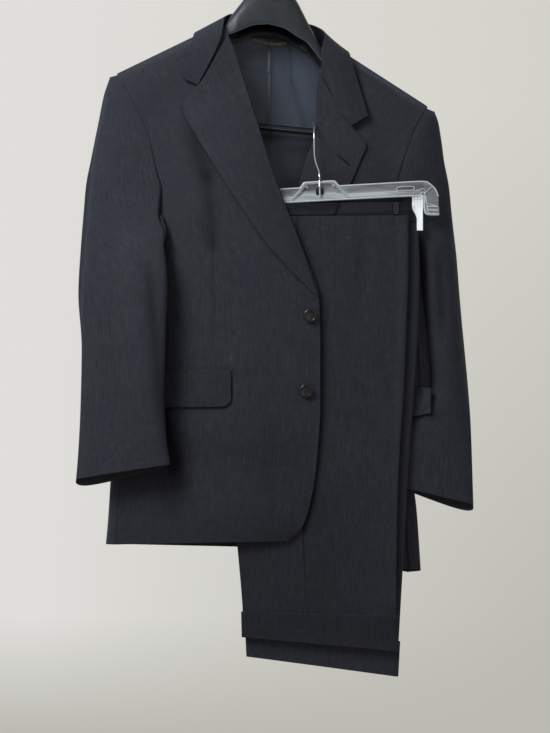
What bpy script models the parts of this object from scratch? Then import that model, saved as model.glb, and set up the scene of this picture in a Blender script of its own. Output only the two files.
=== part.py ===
"""Two-piece suit: an open jacket on a wide black hanger, and its trousers, folded leg on leg,
hung from the hanger's bar by a clear clip hanger.

Run it with blender --background --python part.py, or from the text editor.

Frame: metres, +X to the right as the suit is faced, -Y towards the viewer, +Z up. The origin
is where the black hanger's hook rests on its rail. Tables are in millimetres: x to the right
of the hook, down below it, y behind it. They are drawn on the plane through the hook, and
place() carries each point along the sight line from EYE to its own depth.
"""
import math
from collections import namedtuple

import bmesh
import bpy
from mathutils import Matrix, Vector
from mathutils.bvhtree import BVHTree

MM = 0.001
CLOTH = 1.5             # jacket cloth with its interlining
LIGHT_CLOTH = 1.2       # trouser cloth
LINING = 1.0
SEAM = 0.4              # parting at each side of a seam
REST = 0.35             # parting between layers that lie on each other
EYE = (-3.0, 632.0)     # where the sight line is square to the suit: x, down
EYE_DISTANCE = 1600.0

JACKET_TILT = 5.5       # degrees the black hanger leans, right end down
CLIP_TILT = -3.2        # degrees the clip hanger leans, right end up

HANGER_WALL = 2.5
BAR_DOWN = 274.0        # middle of the trouser bar below the hook, along the hanger
BAR_RADIUS = 5.5
HOOK_WIRE = 3.6
HOOK_RADIUS = 21.0

CLIP_CENTRE = (64.0, 366.0)
CLIP_DEPTH = 9.0
CLIP_Y = -42.0
CLIP_WIRE = 2.8
HOOK_X = 55.5           # the wire hook beside the lapel's edge
HOOK_BACK = 10.0        # y of the hook's far side, behind the bar
HOOK_BAR_TOP = 273.0    # the trouser bar's top at the hook
JAW_FRONT_Y = -39.2
JAW_WIDTH = 16.0
JAW_FOOT = 9.0          # a jaw's width at its foot
JAW_WALL = 2.0

NEAR_LEG_Y = -46.6
FAR_LEG_Y = -35.8
LEG_HALF = 2.6          # half the thickness of a folded leg
TURN_UP_HALF = 4.6
TURN_UP_REACH = 2.4     # how far a turn-up's folds stand past its leg's

BUTTON_RADIUS = 10.0
BUTTON_HEIGHT = 3.4
SLEEVE_BUTTON_RADIUS = 7.5

Edge = namedtuple("Edge", "row side_x side_down side_y front_x front_down front_y bulge")

RIGHT_FRONT = [
    Edge("shoulder seam", -239, 193, -1, -86, 119, -3, 0),
    Edge("shoulder slope", -233, 202, -15, -79, 127, -21, 4),
    Edge("yoke", -213, 236, -25, -65, 154, -29, 3),
    Edge("chest", -196, 272, -29, -51, 197, -33, 5),
    Edge("armhole", -185, 308, -32, -38, 238, -40, 9),
    Edge("armhole front", -178, 352, -33, -22, 292, -48, 12),
    Edge("underarm", -218, 440, -16, 8, 380, -54, 20),
    Edge("roll", -222, 500, -18, 42, 468, -55, 20),
    Edge("button", -226, 556, -18, 62, 530, -55, 20),
    Edge("waist", -228, 610, -18, 64, 600, -55, 20),
    Edge("pocket", -230, 680, -18, 64, 690, -55, 20),
    Edge("hip", -232, 760, -18, 60, 760, -55, 20),
    Edge("low button", -235, 820, -18, 52, 822, -55, 20),
    Edge("corner", -238, 866, -18, 36, 874, -55, 20),
    Edge("hem", -241, 899, -18, 14, 894, -55, 20),
]
LEFT_FRONT = [
    Edge("shoulder seam", 225, 242, -1, 76, 146, -3, 0),
    Edge("shoulder slope", 220, 252, -15, 74, 156, -20, 3),
    Edge("yoke", 209, 272, -23, 64, 194, -22, 3),
    Edge("chest", 199, 296, -27, 60, 232, -21, 1),
    Edge("armhole", 187, 330, -29, 60, 280, -20, 0),
    Edge("armhole front", 181, 360, -27, 46, 318, -20, 0),
    Edge("underarm", 194, 446, -16, 26, 400, -20, 0),
    Edge("roll", 198, 505, -16, 20, 480, -20, 0),
    Edge("button", 204, 556, -16, 16, 560, -20, 0),
    Edge("waist", 210, 610, -16, 14, 630, -20, 0),
    Edge("pocket", 212, 660, -16, 14, 690, -20, 0),
    Edge("hip", 184, 700, -6, 14, 760, -20, 0),
    Edge("low button", 180, 760, 3, 16, 822, -20, 0),
    Edge("corner", 190, 850, 2, 24, 884, -20, 0),
    Edge("hem", 196, 936, -2, 60, 928, -20, 0),
]
# On the back the "front" columns are the centre seam.
RIGHT_BACK = [
    Edge("shoulder seam", -239, 193, 1, -86, 120, 3, 0),
    Edge("shoulder slope", -233, 202, 15, -60, 122, 26, 3),
    Edge("yoke", -213, 236, 25, -4, 140, 32, 0),
    Edge("chest", -196, 272, 29, -6, 190, 35, 0),
    Edge("armhole", -187, 308, 30, -8, 240, 37, 0),
    Edge("armhole front", -184, 352, 29, -10, 300, 38, 0),
    Edge("underarm", -218, 440, 16, -12, 390, 38, 5),
    Edge("roll", -222, 500, 16, -13, 470, 36, 6),
    Edge("button", -226, 556, 16, -14, 545, 34, 6),
    Edge("waist", -228, 610, 16, -16, 610, 34, 6),
    Edge("pocket", -230, 680, 16, -17, 690, 35, 6),
    Edge("hip", -232, 760, 16, -19, 760, 36, 6),
    Edge("low button", -235, 820, 16, -20, 826, 36, 6),
    Edge("corner", -238, 866, 16, -22, 880, 36, 6),
    Edge("hem", -241, 898, 16, -23, 903, 36, 6),
]
LEFT_BACK = [
    Edge("shoulder seam", 225, 242, 1, 76, 146, 3, 0),
    Edge("shoulder slope", 220, 252, 15, 52, 148, 26, 3),
    Edge("yoke", 209, 272, 24, -4, 140, 32, 0),
    Edge("chest", 199, 296, 28, -6, 190, 35, 0),
    Edge("armhole", 189, 330, 30, -8, 240, 37, 0),
    Edge("armhole front", 185, 360, 29, -10, 300, 38, 0),
    Edge("underarm", 194, 446, 16, -12, 390, 38, 5),
    Edge("roll", 198, 505, 16, -13, 470, 36, 6),
    Edge("button", 204, 556, 16, -14, 545, 34, 6),
    Edge("waist", 210, 610, 16, -16, 610, 34, 6),
    Edge("pocket", 212, 660, 16, -17, 690, 35, 6),
    Edge("hip", 184, 700, 17, -19, 760, 36, 6),
    Edge("low button", 180, 760, 20, -20, 826, 36, 6),
    Edge("corner", 190, 850, 20, -22, 880, 36, 6),
    Edge("hem", 196, 940, 18, -23, 903, 36, 6),
]
UNDERARM_ROW = 6
SIDE_REACH = 15.0       # the side body's fold beyond its two seams

Ring = namedtuple("Ring", "row hub_x hub_down hub_y out_x out_down out_y half front back")

RIGHT_SLEEVE = [
    Ring("cap top", -238, 195, 0, -250, 198, 0, 4, -90, 90),
    Ring("cap", -226, 216, 0, -259, 224, 0, 20, -90, 90),
    Ring("cap slope", -209, 248, 0, -266, 257, 0, 27, -90, 90),
    Ring("cap front", -193, 300, -2, -276, 303, -2, 31, -90, 90),
    Ring("cap base", -186, 350, -4, -284, 352, -4, 33, -96, 88),
    Ring("notch", -210, 404, -19, -289, 400, -8, 25, -117, 60),
    Ring("biceps", -231, 452, -38, -293, 450, -14, 15, -172, 10),
    Ring("elbow", -231, 520, -49, -297, 524, -22, 14, -180, -15),
    Ring("below elbow", -230, 600, -53, -292, 604, -26, 14, -180, -20),
    Ring("forearm", -232, 690, -54, -294, 698, -28, 14, -180, -20),
    Ring("wrist", -232, 746, -55, -297, 756, -30, 14, -180, -20),
    Ring("cuff", -231, 790, -56, -301, 801, -32, 14, -180, -20),
]
LEFT_SLEEVE = [
    Ring("cap top", 225, 245, 0, 236, 250, 0, 4, -90, 90),
    Ring("cap", 217, 262, 0, 242, 266, 0, 20, -90, 90),
    Ring("cap slope", 207, 284, 0, 246, 288, 0, 26, -90, 90),
    Ring("cap front", 194, 322, 0, 251, 324, 0, 29, -90, 90),
    Ring("cap base", 188, 356, 1, 257, 356, 0, 30, -92, 88),
    Ring("notch", 208, 410, 4, 262, 408, 3, 30, -105, 65),
    Ring("biceps", 239, 452, 6, 266, 450, 5, 33, -165, 15),
    Ring("elbow", 244.4, 520, 7, 272, 520, 6, 34, -180, 0),
    Ring("below elbow", 252.8, 600, 8, 280, 602, 6, 33, -180, -5),
    Ring("forearm", 258.4, 660, 7, 286, 666, 6, 29, -180, -10),
    Ring("above wrist", 250, 700, -4, 289, 706, 0, 21, -180, -12),
    Ring("wrist", 240, 740, -15, 291, 748, -10, 13, -180, -15),
    Ring("cuff", 232, 824, -19, 294, 839, -18, 9.5, -180, -20),
]
Spot = namedtuple("Spot", "place x down y")

# The under sleeve's top edge, from the back notch under the arm to the front notch.
RIGHT_UNDERARM = [
    Spot("back notch", -191, 352, 28),
    Spot("back", -203, 392, 27),
    Spot("low back", -215, 430, 20),
    Spot("side", -237.5, 438, 2),
    Spot("low front", -224, 438, -22),
    Spot("front", -190, 424, -38),
    Spot("front notch", -172, 404, -43),
]
LEFT_UNDERARM = [
    Spot("back notch", 190, 356, 32),
    Spot("back", 190, 396, 31),
    Spot("low back", 198, 441, 22.5),
    Spot("side", 212.5, 446.8, 3),
    Spot("low front", 212.5, 444, -2),
    Spot("front", 209, 439, -7),
    Spot("front notch", 203, 432, -12),
]
BACK_NOTCH = 4.0        # the sleeve rows where the under sleeve starts
RIGHT_FRONT_NOTCH = 5.0
LEFT_FRONT_NOTCH = 5.5
RIGHT_FRONT_HOLD = 3.4  # the sleeve rows down to which the top sleeve keeps to the armhole
LEFT_FRONT_HOLD = 4.6
BACK_HOLD = 3.4
HOLD_FADE = 0.9
CUFF_DROP = 12.0        # how much lower a cuff hangs behind than in front
UNDER_BLEND = 0.22      # share of the under sleeve that fairs into the armhole
UNDER_LEAN = 1.6        # crowds the under sleeve's columns towards the outer fold
TOP_TRIM = 0.016        # share of the top sleeve's girth left free at each of its seams
ARMHOLE_GAP = 1.0       # from the body's armhole edge to the middle of the sleeve's wall
SIDE_START = 0.02       # share of a half turn where the side body's fold starts at its seam

Strip = namedtuple("Strip", "row outer_x outer_down outer_y inner_x inner_down inner_y")

RIGHT_LAPEL = [
    Strip("gorge", -117, 214, 0, -74, 134, 0),
    Strip("tip", -141, 244, 0, -62, 162, 0),
    Strip("below tip", -122, 284, 0, -50, 201, 0),
    Strip("chest", -100, 320, 0, -38, 239, 0),
    Strip("upper curve", -76, 358, 0, -26, 278, 0),
    Strip("curve", -50, 398, 0, -13, 320, 0),
    Strip("lower curve", -24, 436, 0, 2, 364, 0),
    Strip("belly", 6, 472, 0, 18, 404, 0),
    Strip("low", 34, 501, 0, 34, 446, 0),
    Strip("break", 57, 524, 0, 52, 496, 0),
    Strip("end", 62, 530, 0, 60, 524, 0),
]
LEFT_LAPEL = [
    Strip("gorge", 110, 273, 0, 65, 194, 0),
    Strip("tip", 134, 301, 0, 62, 225, 0),
    Strip("below tip", 126, 322, 0, 61, 250, 0),
    Strip("chest", 116, 346, 0, 59, 280, 0),
    Strip("upper curve", 104, 372, 0, 46, 316, 0),
    Strip("curve", 92, 400, 0, 36, 350, 0),
    Strip("lower curve", 76, 440, 0, 28, 400, 0),
    Strip("belly", 56, 480, 0, 22, 446, 0),
    Strip("break", 26, 530, 0, 18, 520, 0),
]
COLLAR = [
    Strip("right point", -142, 199, -38, -119, 210, -38),
    Strip("right front", -136, 176, -36, -101, 176, -36),
    Strip("right side", -129, 152, -32, -84, 138, -33),
    Strip("right shoulder", -122, 131, -6, -77, 107, -12),
    Strip("right back", -102, 140, 30, -62, 103, 22),
    Strip("behind right", -52, 158, 41, -34, 104, 30),
    Strip("centre back", -3, 166, 43, -3, 108, 33),
    Strip("behind left", 46, 170, 41, 30, 114, 30),
    Strip("left back", 90, 171, 34, 58, 122, 23),
    Strip("left shoulder", 106, 160, -6, 72, 134, -12),
    Strip("left side", 113, 178, -29, 66, 164, -28),
    Strip("left front", 125, 216, -32, 84, 228, -29),
    Strip("left point", 137, 256, -35, 111, 271, -33),
]
STAND = [
    Strip("right end", -62, 134, 21.6, -57, 112, 20.8),
    Strip("behind right", -38, 138, 23.6, -34, 112, 21.6),
    Strip("centre back", -3, 142, 24.6, -3, 115, 22.4),
    Strip("behind left", 32, 149, 24.0, 28, 121, 22.0),
    Strip("left end", 56, 154, 22.0, 51, 132, 21.2),
]
Flap = namedtuple("Flap", "station x top bottom")

RIGHT_FLAP = [
    Flap("sleeve end", -217, 642, 692),
    Flap("quarter", -180, 640, 693),
    Flap("middle", -140, 637, 693),
    Flap("three quarters", -100, 636, 693),
    Flap("round", -80, 637, 692),
    Flap("front end", -69, 638, 684),
]
Overhang = namedtuple("Overhang", "station x top bottom top_y bottom_y")

# The left flap lies on its front and reaches past the side, over the sleeve behind it.
LEFT_FLAP = [
    Overhang("front end", 76, 656, 700, -21.0, -23.0),
    Overhang("round", 88, 657, 706, -20.8, -23.5),
    Overhang("quarter", 120, 658, 707, -20.1, -24.0),
    Overhang("middle", 160, 661, 707, -19.1, -25.5),
    Overhang("three quarters", 198, 663, 707, -18.4, -28.4),
    Overhang("sleeve end", 231, 664, 702, -27.7, -28.9),
]
FRONT_BUTTONS = [("upper", 50, 556), ("lower", 44, 669)]

Leg = namedtuple("Leg", "row left left_down right right_down")

NEAR_LEG = [
    Leg("waist", -92, 407, 197, 405),
    Leg("seat", -92, 472, 197, 472),
    Leg("crotch", -90, 562, 194, 562),
    Leg("thigh", -84, 660, 190, 664),
    Leg("knee", -74, 760, 183, 768),
    Leg("calf", -62, 870, 179, 880),
    Leg("turn-up top", -51, 998, 178, 1004),
    Leg("bottom", -50, 1038, 180, 1060),
]
FAR_LEG = [
    Leg("waist", -86, 407, 211, 416),
    Leg("seat", -88, 472, 213, 480),
    Leg("crotch", -86, 562, 211, 566),
    Leg("thigh", -80, 660, 205, 668),
    Leg("knee", -70, 760, 197, 776),
    Leg("calf", -56, 884, 190, 900),
    Leg("turn-up top", -45, 1026, 182, 1042),
    Leg("bottom", -43, 1067, 179, 1097),
]
LEG_SEAM = 0.42         # share of a leg's width from its left edge to its side seams
TURN_UP = 0.75          # where a turn-up starts, between the last two rows of its leg

Band = namedtuple("Band", "station x top bottom")

# Along the top of the folded trousers; the near band shows its front, the far band its end.
NEAR_BAND = [
    Band("left fold", -92, 389, 406),
    Band("middle", 50, 387, 405.5),
    Band("right fold", 200, 385, 404),
]
FAR_BAND = [
    Band("left fold", -86, 389, 406),
    Band("middle", 60, 387, 409),
    Band("right fold", 214, 385, 415),
]
TAB = [
    Band("hidden end", -20, 388, 405),
    Band("middle", 40, 387, 404.5),
    Band("slant", 84, 387, 404),
    Band("point", 92, 387, 388),
]
PLEAT_RISE = 3.0
PLEAT_WIDTH = 12.0
BAND_HALF = 1.8         # half the thickness of a folded waistband
BELT_LOOPS = [("right", 179), ("left", -50)]
LOOP_WIDTH = 8.0
SLEEVE_BUTTONS = 3
SLEEVE_BUTTON_STEP = 16.0


def material(name, colour, roughness, metallic=0.0):
    """A plain Principled material."""
    made = bpy.data.materials.new(name)
    made.use_nodes = True
    shader = made.node_tree.nodes["Principled BSDF"]
    shader.inputs["Base Color"].default_value = (*colour, 1.0)
    shader.inputs["Roughness"].default_value = roughness
    shader.inputs["Metallic"].default_value = metallic
    return made


def place(x, down, y):
    """A point of a table, in metres, moved along the sight line to its depth."""
    scale = 1.0 + y / EYE_DISTANCE
    eye_x, eye_down = EYE
    return Vector((
        (eye_x + (x - eye_x) * scale) * MM,
        y * MM,
        -(eye_down + (down - eye_down) * scale) * MM,
    ))


def steepness(before, here, after):
    """The slope at a row of a table, level at a peak so that no curve runs past its rows."""
    rise, next_rise = here - before, after - here
    if rise * next_rise <= 0:
        return 0.0
    return 2 * rise * next_rise / (rise + next_rise)


def between(rows, share):
    """The row's numbers at a share of the way down a table, on a smooth curve through all rows."""
    span = len(rows) - 1
    at = min(max(share, 0.0), 1.0) * span
    i = min(int(at), span - 1)
    t = at - i
    numbers = []
    for column in range(1, len(rows[0])):
        start, end = rows[i][column], rows[i + 1][column]
        before = rows[i - 1][column] if i > 0 else 2 * start - end
        after = rows[i + 2][column] if i + 2 <= span else 2 * end - start
        slope_in = steepness(before, start, end)
        slope_out = steepness(start, end, after)
        numbers.append(
            start * (1 + 2 * t) * (1 - t) ** 2 + end * t * t * (3 - 2 * t)
            + slope_in * t * (1 - t) ** 2 - slope_out * t * t * (1 - t)
        )
    return numbers


def mix(a, b, share):
    return a + (b - a) * share


def smooth(share):
    """A share from 0 to 1 that starts and ends level."""
    share = min(max(share, 0.0), 1.0)
    return share * share * (3 - 2 * share)


def finish(name, mesh, finish_material):
    """Links a mesh as a named, smooth object of the suit."""
    mesh.shade_smooth()
    mesh.set_sharp_from_angle(angle=math.radians(40))
    made = bpy.data.objects.new(name, mesh)
    made.data.materials.append(finish_material)
    suit.objects.link(made)
    return made


def grid(point, across, along):
    """A square grid whose every corner is carried to point(u, v), u and v from 0 to 1."""
    sheet = bmesh.new()
    bmesh.ops.create_grid(sheet, x_segments=across, y_segments=along, size=0.5)
    for corner in sheet.verts:
        corner.co = point(max(corner.co.x + 0.5, 0.0), max(0.5 - corner.co.y, 0.0))
    return sheet


def wall(name, point, across, along, thickness, cloth):
    """A closed cloth wall on both sides of the sheet point(u, v)."""
    sheet = grid(point, across, along)
    mesh = bpy.data.meshes.new(name)
    sheet.to_mesh(mesh)
    sheet.free()
    made = finish(name, mesh, cloth)
    solid = made.modifiers.new("Cloth", "SOLIDIFY")
    solid.thickness = thickness * MM
    solid.offset = 0.0
    return made


def edge_point(rows, share, u):
    """A point of a body panel: u is 0 at the armhole or side seam and 1 at the front edge."""
    side_x, side_down, side_y, front_x, front_down, front_y, bulge = between(rows, share)
    y = mix(side_y, front_y, u)
    y += math.copysign(bulge, y) * 4 * u * (1 - u)
    return mix(side_x, front_x, u), mix(side_down, front_down, u), y


def panel(rows, inset):
    """The sheet of a front or back, parted from its neighbours by the seam."""
    def point(u, v):
        width = abs(between(rows, v)[3] - between(rows, v)[0])
        trim = inset / max(width, 1.0)
        return place(*edge_point(rows, v, trim + u * (1 - 2 * trim)))
    return point


def side(front_rows, back_rows, outward):
    """The side body's sheet, from the front's side seam round the fold to the back's."""
    start = UNDERARM_ROW / (len(front_rows) - 1)

    def point(u, v):
        share = mix(start, 1.0, v)
        front = edge_point(front_rows, share, 0.0)
        back = edge_point(back_rows, share, 0.0)
        turn = math.pi * mix(SIDE_START, 1 - SIDE_START, u)
        y_middle = (front[2] + back[2]) / 2
        y_half = (back[2] - front[2]) / 2
        down = mix(front[1], back[1], u)
        return place(mix(front[0], back[0], u) + outward * SIDE_REACH * math.sin(turn), down,
                     y_middle - y_half * math.cos(turn))
    return point


def ring_point(rows, share, turn):
    """A point of a sleeve: turn is 0 at the outer fold, negative in front, in degrees."""
    hub_x, hub_down, hub_y, out_x, out_down, out_y, half, _, _ = between(rows, share)
    along = math.cos(math.radians(turn))
    through = math.sin(math.radians(turn))
    lean = (out_y - hub_y) / max(abs(out_x - hub_x), 1.0)
    side_way = math.copysign(1.0, out_x - hub_x)
    x = hub_x + (out_x - hub_x) * along - side_way * lean * half * through
    down = hub_down + (out_down - hub_down) * along
    y = hub_y + (out_y - hub_y) * along + half * through
    return x, down, y


def armhole_at(rows, down):
    """The point of a body panel's armhole edge at this height, found by halving."""
    low, high = 0.0, UNDERARM_ROW / (len(rows) - 1)
    for _ in range(24):
        middle = (low + high) / 2
        if edge_point(rows, middle, 0.0)[1] < down:
            low = middle
        else:
            high = middle
    return edge_point(rows, low, 0.0)


def top_sleeve(rows, front_rows, back_rows, front_hold, outward):
    """The top sleeve: the sleeve's rings, drawn to the armhole at both edges above its notches."""
    last = len(rows) - 1

    def raw(u, v):
        turn_front, turn_back = between(rows, v)[7:9]
        turn = mix(turn_front, turn_back, TOP_TRIM + u * (1 - 2 * TOP_TRIM))
        return ring_point(rows, v, turn)

    def point(u, v):
        x, down, y = raw(u, v)
        for body, edge, near, held in (
            (front_rows, 0.0, (1 - u) ** 3, front_hold), (back_rows, 1.0, u ** 3, BACK_HOLD),
        ):
            hold = 1.0 - smooth((v * last - held) / HOLD_FADE)
            edge_x, edge_down, edge_y = raw(edge, v)
            seam_x, _, seam_y = armhole_at(body, edge_down)
            x += (seam_x + outward * ARMHOLE_GAP - edge_x) * near * hold
            y += (seam_y - edge_y) * near * hold
        return place(x, down + SEAM, y)
    return point


def under_sleeve(rows, armhole, front_notch):
    """The under sleeve: the sleeve's rings, drawn up to the armhole's lower edge at the top."""
    last = len(rows) - 1

    def ring(u, share):
        turn_front, turn_back = between(rows, share)[7:9]
        trim = 0.042
        across = trim + u ** UNDER_LEAN * (1 - 2 * trim)
        return ring_point(rows, share, mix(turn_back, turn_front + 360.0, across))

    def point(u, v):
        start = mix(BACK_NOTCH, front_notch, u) / last
        fair = smooth(v / UNDER_BLEND)
        here, first, top = ring(u, mix(start, 1.0, v)), ring(u, start), between(armhole, u)
        x, down, y = (h + (t - f) * (1 - fair) for h, f, t in zip(here, first, top))
        return place(x, down + CUFF_DROP * math.sin(math.pi * u) ** 2 * smooth((v - 0.8) / 0.2), y)
    return point


def strip(rows):
    def point(u, v):
        outer_x, outer_down, outer_y, inner_x, inner_down, inner_y = between(rows, v)
        return place(mix(outer_x, inner_x, u), mix(outer_down, inner_down, u),
                     mix(outer_y, inner_y, u))
    return point


def tree(point, across, along):
    """A search tree of a sheet, for what lies on it."""
    sheet = grid(point, across, along)
    bmesh.ops.triangulate(sheet, faces=sheet.faces)
    made = BVHTree.FromBMesh(sheet)
    sheet.free()
    return made


def laid(under, x, down, lift):
    """A point that lies lift millimetres in front of the sheet under it."""
    guess = place(x, down, -40)
    start = Vector((guess.x, -1.0, guess.z))
    hit = under.ray_cast(start, Vector((0, 1, 0)))[0]
    if hit is None:
        hit = under.find_nearest(guess)[0]
    y = hit.y / MM - lift
    return place(x, down, y)


def lapel(rows, under, lift, roll):
    """A lapel laid on its front, lifted into a soft roll beside the roll line."""
    def point(u, v):
        outer_x, outer_down, _, inner_x, inner_down, _ = between(rows, v)
        rise = lift + roll * math.sin(math.pi * min(u * 1.1, 1.0)) * (1 - 0.7 * v)
        return laid(under, mix(outer_x, inner_x, u), mix(outer_down, inner_down, u), rise)
    return point


def flap(rows, under, lift):
    def point(u, v):
        x, top, bottom = between(rows, u)
        return laid(under, x, mix(top, bottom, v), lift + 1.5 * v)
    return point


def overhanging_flap(rows):
    """A flap whose depth is given at its top and bottom edges."""
    def point(u, v):
        x, top, bottom, top_y, bottom_y = between(rows, u)
        return place(x, mix(top, bottom, v), mix(top_y, bottom_y, v))
    return point


def leg_point(rows, share, turn, y_middle, half, reach=0.0):
    """A point round a folded leg: turn is 0 at its right crease, -90 in front."""
    left, left_down, right, right_down = between(rows, share)
    left, right = left - reach, right + reach
    along = math.cos(math.radians(turn))
    through = math.sin(math.radians(turn))
    u = 0.5 + 0.5 * along
    y = y_middle + math.copysign(abs(through) ** 0.35, through) * half
    return place(mix(left, right, u), mix(left_down, right_down, u), y)


def band_loop(rows, y_middle, half):
    """A waistband folded at both ends and open at its middle behind, where its seam is."""
    def point(u, v):
        turn = mix(92.0, -268.0, u)
        along = math.cos(math.radians(turn))
        through = math.sin(math.radians(turn))
        x, top, bottom = between(rows, 0.5 + 0.5 * along)
        y = y_middle + math.copysign(abs(through) ** 0.35, through) * half
        return place(x, mix(top, bottom, v), y)
    return point


def leg_panel(rows, y_middle, turn_start, turn_end):
    def point(u, v):
        return leg_point(rows, v, mix(turn_start, turn_end, u), y_middle, LEG_HALF)
    return point


def turn_up(rows, y_middle):
    last = 1.0 / (len(rows) - 1)
    start = 1.0 - last * TURN_UP * 1.3

    def point(u, v):
        turn = mix(-262.0, 96.0, u)
        return leg_point(rows, mix(start, 1.0, v), turn, y_middle, TURN_UP_HALF, TURN_UP_REACH)
    return point


def wire(name, points, diameter, finish_material):
    """A round wire through points in metres."""
    route = bpy.data.curves.new(name, "CURVE")
    route.dimensions = "3D"
    route.bevel_depth = diameter / 2 * MM
    route.bevel_resolution = 2
    route.use_fill_caps = True
    path = route.splines.new("POLY")
    path.points.add(len(points) - 1)
    for knot, place_of_knot in zip(path.points, points):
        knot.co = (*place_of_knot, 1.0)
    made = bpy.data.objects.new(name, route)
    made.data.materials.append(finish_material)
    suit.objects.link(made)
    return made


def button(name, centre, radius, facing, finish_material):
    """A dished, rimmed button turned about the axis that faces the viewer or the back."""
    disc = bmesh.new()
    bmesh.ops.create_cone(disc, cap_ends=True, segments=20, radius1=radius * MM,
                          radius2=radius * 0.9 * MM, depth=BUTTON_HEIGHT * MM)
    face = max(disc.faces, key=lambda f: f.calc_center_median().z)
    bmesh.ops.inset_region(disc, faces=[face], thickness=radius * 0.2 * MM,
                           depth=-BUTTON_HEIGHT * 0.3 * MM)
    way = Vector((0, facing, 0)).to_track_quat("Z", "Y").to_matrix()
    bmesh.ops.transform(disc, verts=disc.verts,
                        matrix=Matrix.Translation(centre) @ way.to_4x4())
    mesh = bpy.data.meshes.new(name)
    disc.to_mesh(mesh)
    disc.free()
    return finish(name, mesh, finish_material)


def clear_scene():
    for old in list(bpy.data.objects):
        bpy.data.objects.remove(old)


def hung(u, w, y):
    """A point of the black hanger, u across and w down along it, leaned about the hook."""
    lean = math.radians(JACKET_TILT)
    return Vector((
        (u * math.cos(lean) - w * math.sin(lean)) * MM,
        y * MM,
        -(u * math.sin(lean) + w * math.cos(lean)) * MM,
    ))


Arm = namedtuple("Arm", "station u top half wall")

HANGER_ARM = [
    Arm("neck", 0, 68, 18, 56),
    Arm("neck side", 20, 70, 18, 57),
    Arm("neck edge", 36, 82, 18, 52),
    Arm("throat", 46, 97, 18, 42.5),
    Arm("slope", 62, 122, 16, 26),
    Arm("collar", 82, 148.6, 16, 20),
    Arm("upper arm", 120, 177, 17, 28),
    Arm("arm", 160, 201, 18, 32),
    Arm("shoulder", 184, 218, 18, 26),
    Arm("end", 197, 228, 16, 16),
    Arm("tip", 202, 238, 12, 7),
]
BACK_RIM_DROP = 5.0     # how much deeper the hanger's back wall is than its front wall


def hanger_body():
    """A channel, open underneath, that widens to the shoulders."""
    def point(u, v):
        across = abs(2 * u - 1)
        u_mm, top, half, wall_height = between(HANGER_ARM, across)
        turn = math.pi * v
        y = -half * math.copysign(abs(math.cos(turn)) ** 0.7, math.cos(turn))
        wall_height += BACK_RIM_DROP * v
        drop = wall_height * (1 - max(math.sin(turn), 0.0) ** 0.7)
        return hung(math.copysign(u_mm, 2 * u - 1), top + drop, y)
    wall("hanger_body", point, 32, 10, HANGER_WALL, black_plastic)


def hanger_bar():
    """The ridged trouser bar between the hanger's arms, on two short posts."""
    post = 172.0
    points = [
        hung(-post, 215.6, 0), hung(-post, 258, 0), hung(-post + 5, 270, 0),
        hung(-post + 17, BAR_DOWN, 0), hung(-60, BAR_DOWN, 0), hung(0, BAR_DOWN, 0),
        hung(60, BAR_DOWN, 0), hung(post - 17, BAR_DOWN, 0), hung(post - 5, 270, 0),
        hung(post, 258, 0), hung(post, 215.6, 0),
    ]
    wire("hanger_bar", points, BAR_RADIUS * 2, black_plastic)


def hanger_hook():
    """A steel hook that rests on its rail at the origin, over a straight shank."""
    radius = HOOK_RADIUS
    points = []
    for step in range(19):
        turn = math.radians(200 - step * 220 / 18)
        points.append(hung(radius * math.cos(turn), radius * (1 - math.sin(turn))
                           - HOOK_WIRE / 2, 0))
    sweep_end = radius * 2
    points.append(hung(12, sweep_end - 2, 0))
    points.append(hung(2, sweep_end + 6, 0))
    points.append(hung(0, sweep_end + 14, 0))
    points.append(hung(0, 66.2, 0))
    wire("hanger_hook", points, HOOK_WIRE, steel)


def jacket():
    right_front = panel(RIGHT_FRONT, SEAM)
    left_front = panel(LEFT_FRONT, SEAM)
    wall("front_right", right_front, 12, 22, CLOTH, wool)
    wall("front_left", left_front, 10, 28, CLOTH, wool)
    wall("back_right", panel(RIGHT_BACK, SEAM), 8, 18, CLOTH, wool)
    wall("back_left", panel(LEFT_BACK, SEAM), 8, 28, CLOTH, wool)
    wall("side_right", side(RIGHT_FRONT, RIGHT_BACK, -1), 6, 12, CLOTH, wool)
    wall("side_left", side(LEFT_FRONT, LEFT_BACK, 1), 6, 16, CLOTH, wool)
    right_tree = tree(right_front, 12, 22)
    left_tree = tree(left_front, 10, 28)
    lift = CLOTH + 2 * REST
    wall("lapel_right", lapel(RIGHT_LAPEL, right_tree, lift, 3.0), 4, 20, CLOTH, wool)
    wall("lapel_left", lapel(LEFT_LAPEL, left_tree, lift, 1.9), 4, 16, CLOTH, wool)
    wall("collar", strip(COLLAR), 3, 30, CLOTH, wool)
    wall("collar_stand", strip(STAND), 2, 18, CLOTH, wool)
    wall("pocket_flap_right", flap(RIGHT_FLAP, right_tree, lift), 10, 3, CLOTH, wool)
    wall("pocket_flap_left", overhanging_flap(LEFT_FLAP), 10, 3, CLOTH, wool)
    for name, x, down in FRONT_BUTTONS:
        seat = laid(right_tree, x, down, CLOTH / 2 + 5 * REST + BUTTON_HEIGHT / 2)
        button("front_button_" + name, seat, BUTTON_RADIUS, -1, dark_button)


def sleeves():
    for name, rows, armhole, notch, armhole_edges in (
        ("right", RIGHT_SLEEVE, RIGHT_UNDERARM, RIGHT_FRONT_NOTCH,
         (RIGHT_FRONT, RIGHT_BACK, RIGHT_FRONT_HOLD, -1)),
        ("left", LEFT_SLEEVE, LEFT_UNDERARM, LEFT_FRONT_NOTCH,
         (LEFT_FRONT, LEFT_BACK, LEFT_FRONT_HOLD, 1)),
    ):
        wall("top_sleeve_" + name, top_sleeve(rows, *armhole_edges), 10, 18, CLOTH, wool)
        wall("under_sleeve_" + name, under_sleeve(rows, armhole, notch), 8, 14, CLOTH, wool)


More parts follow.
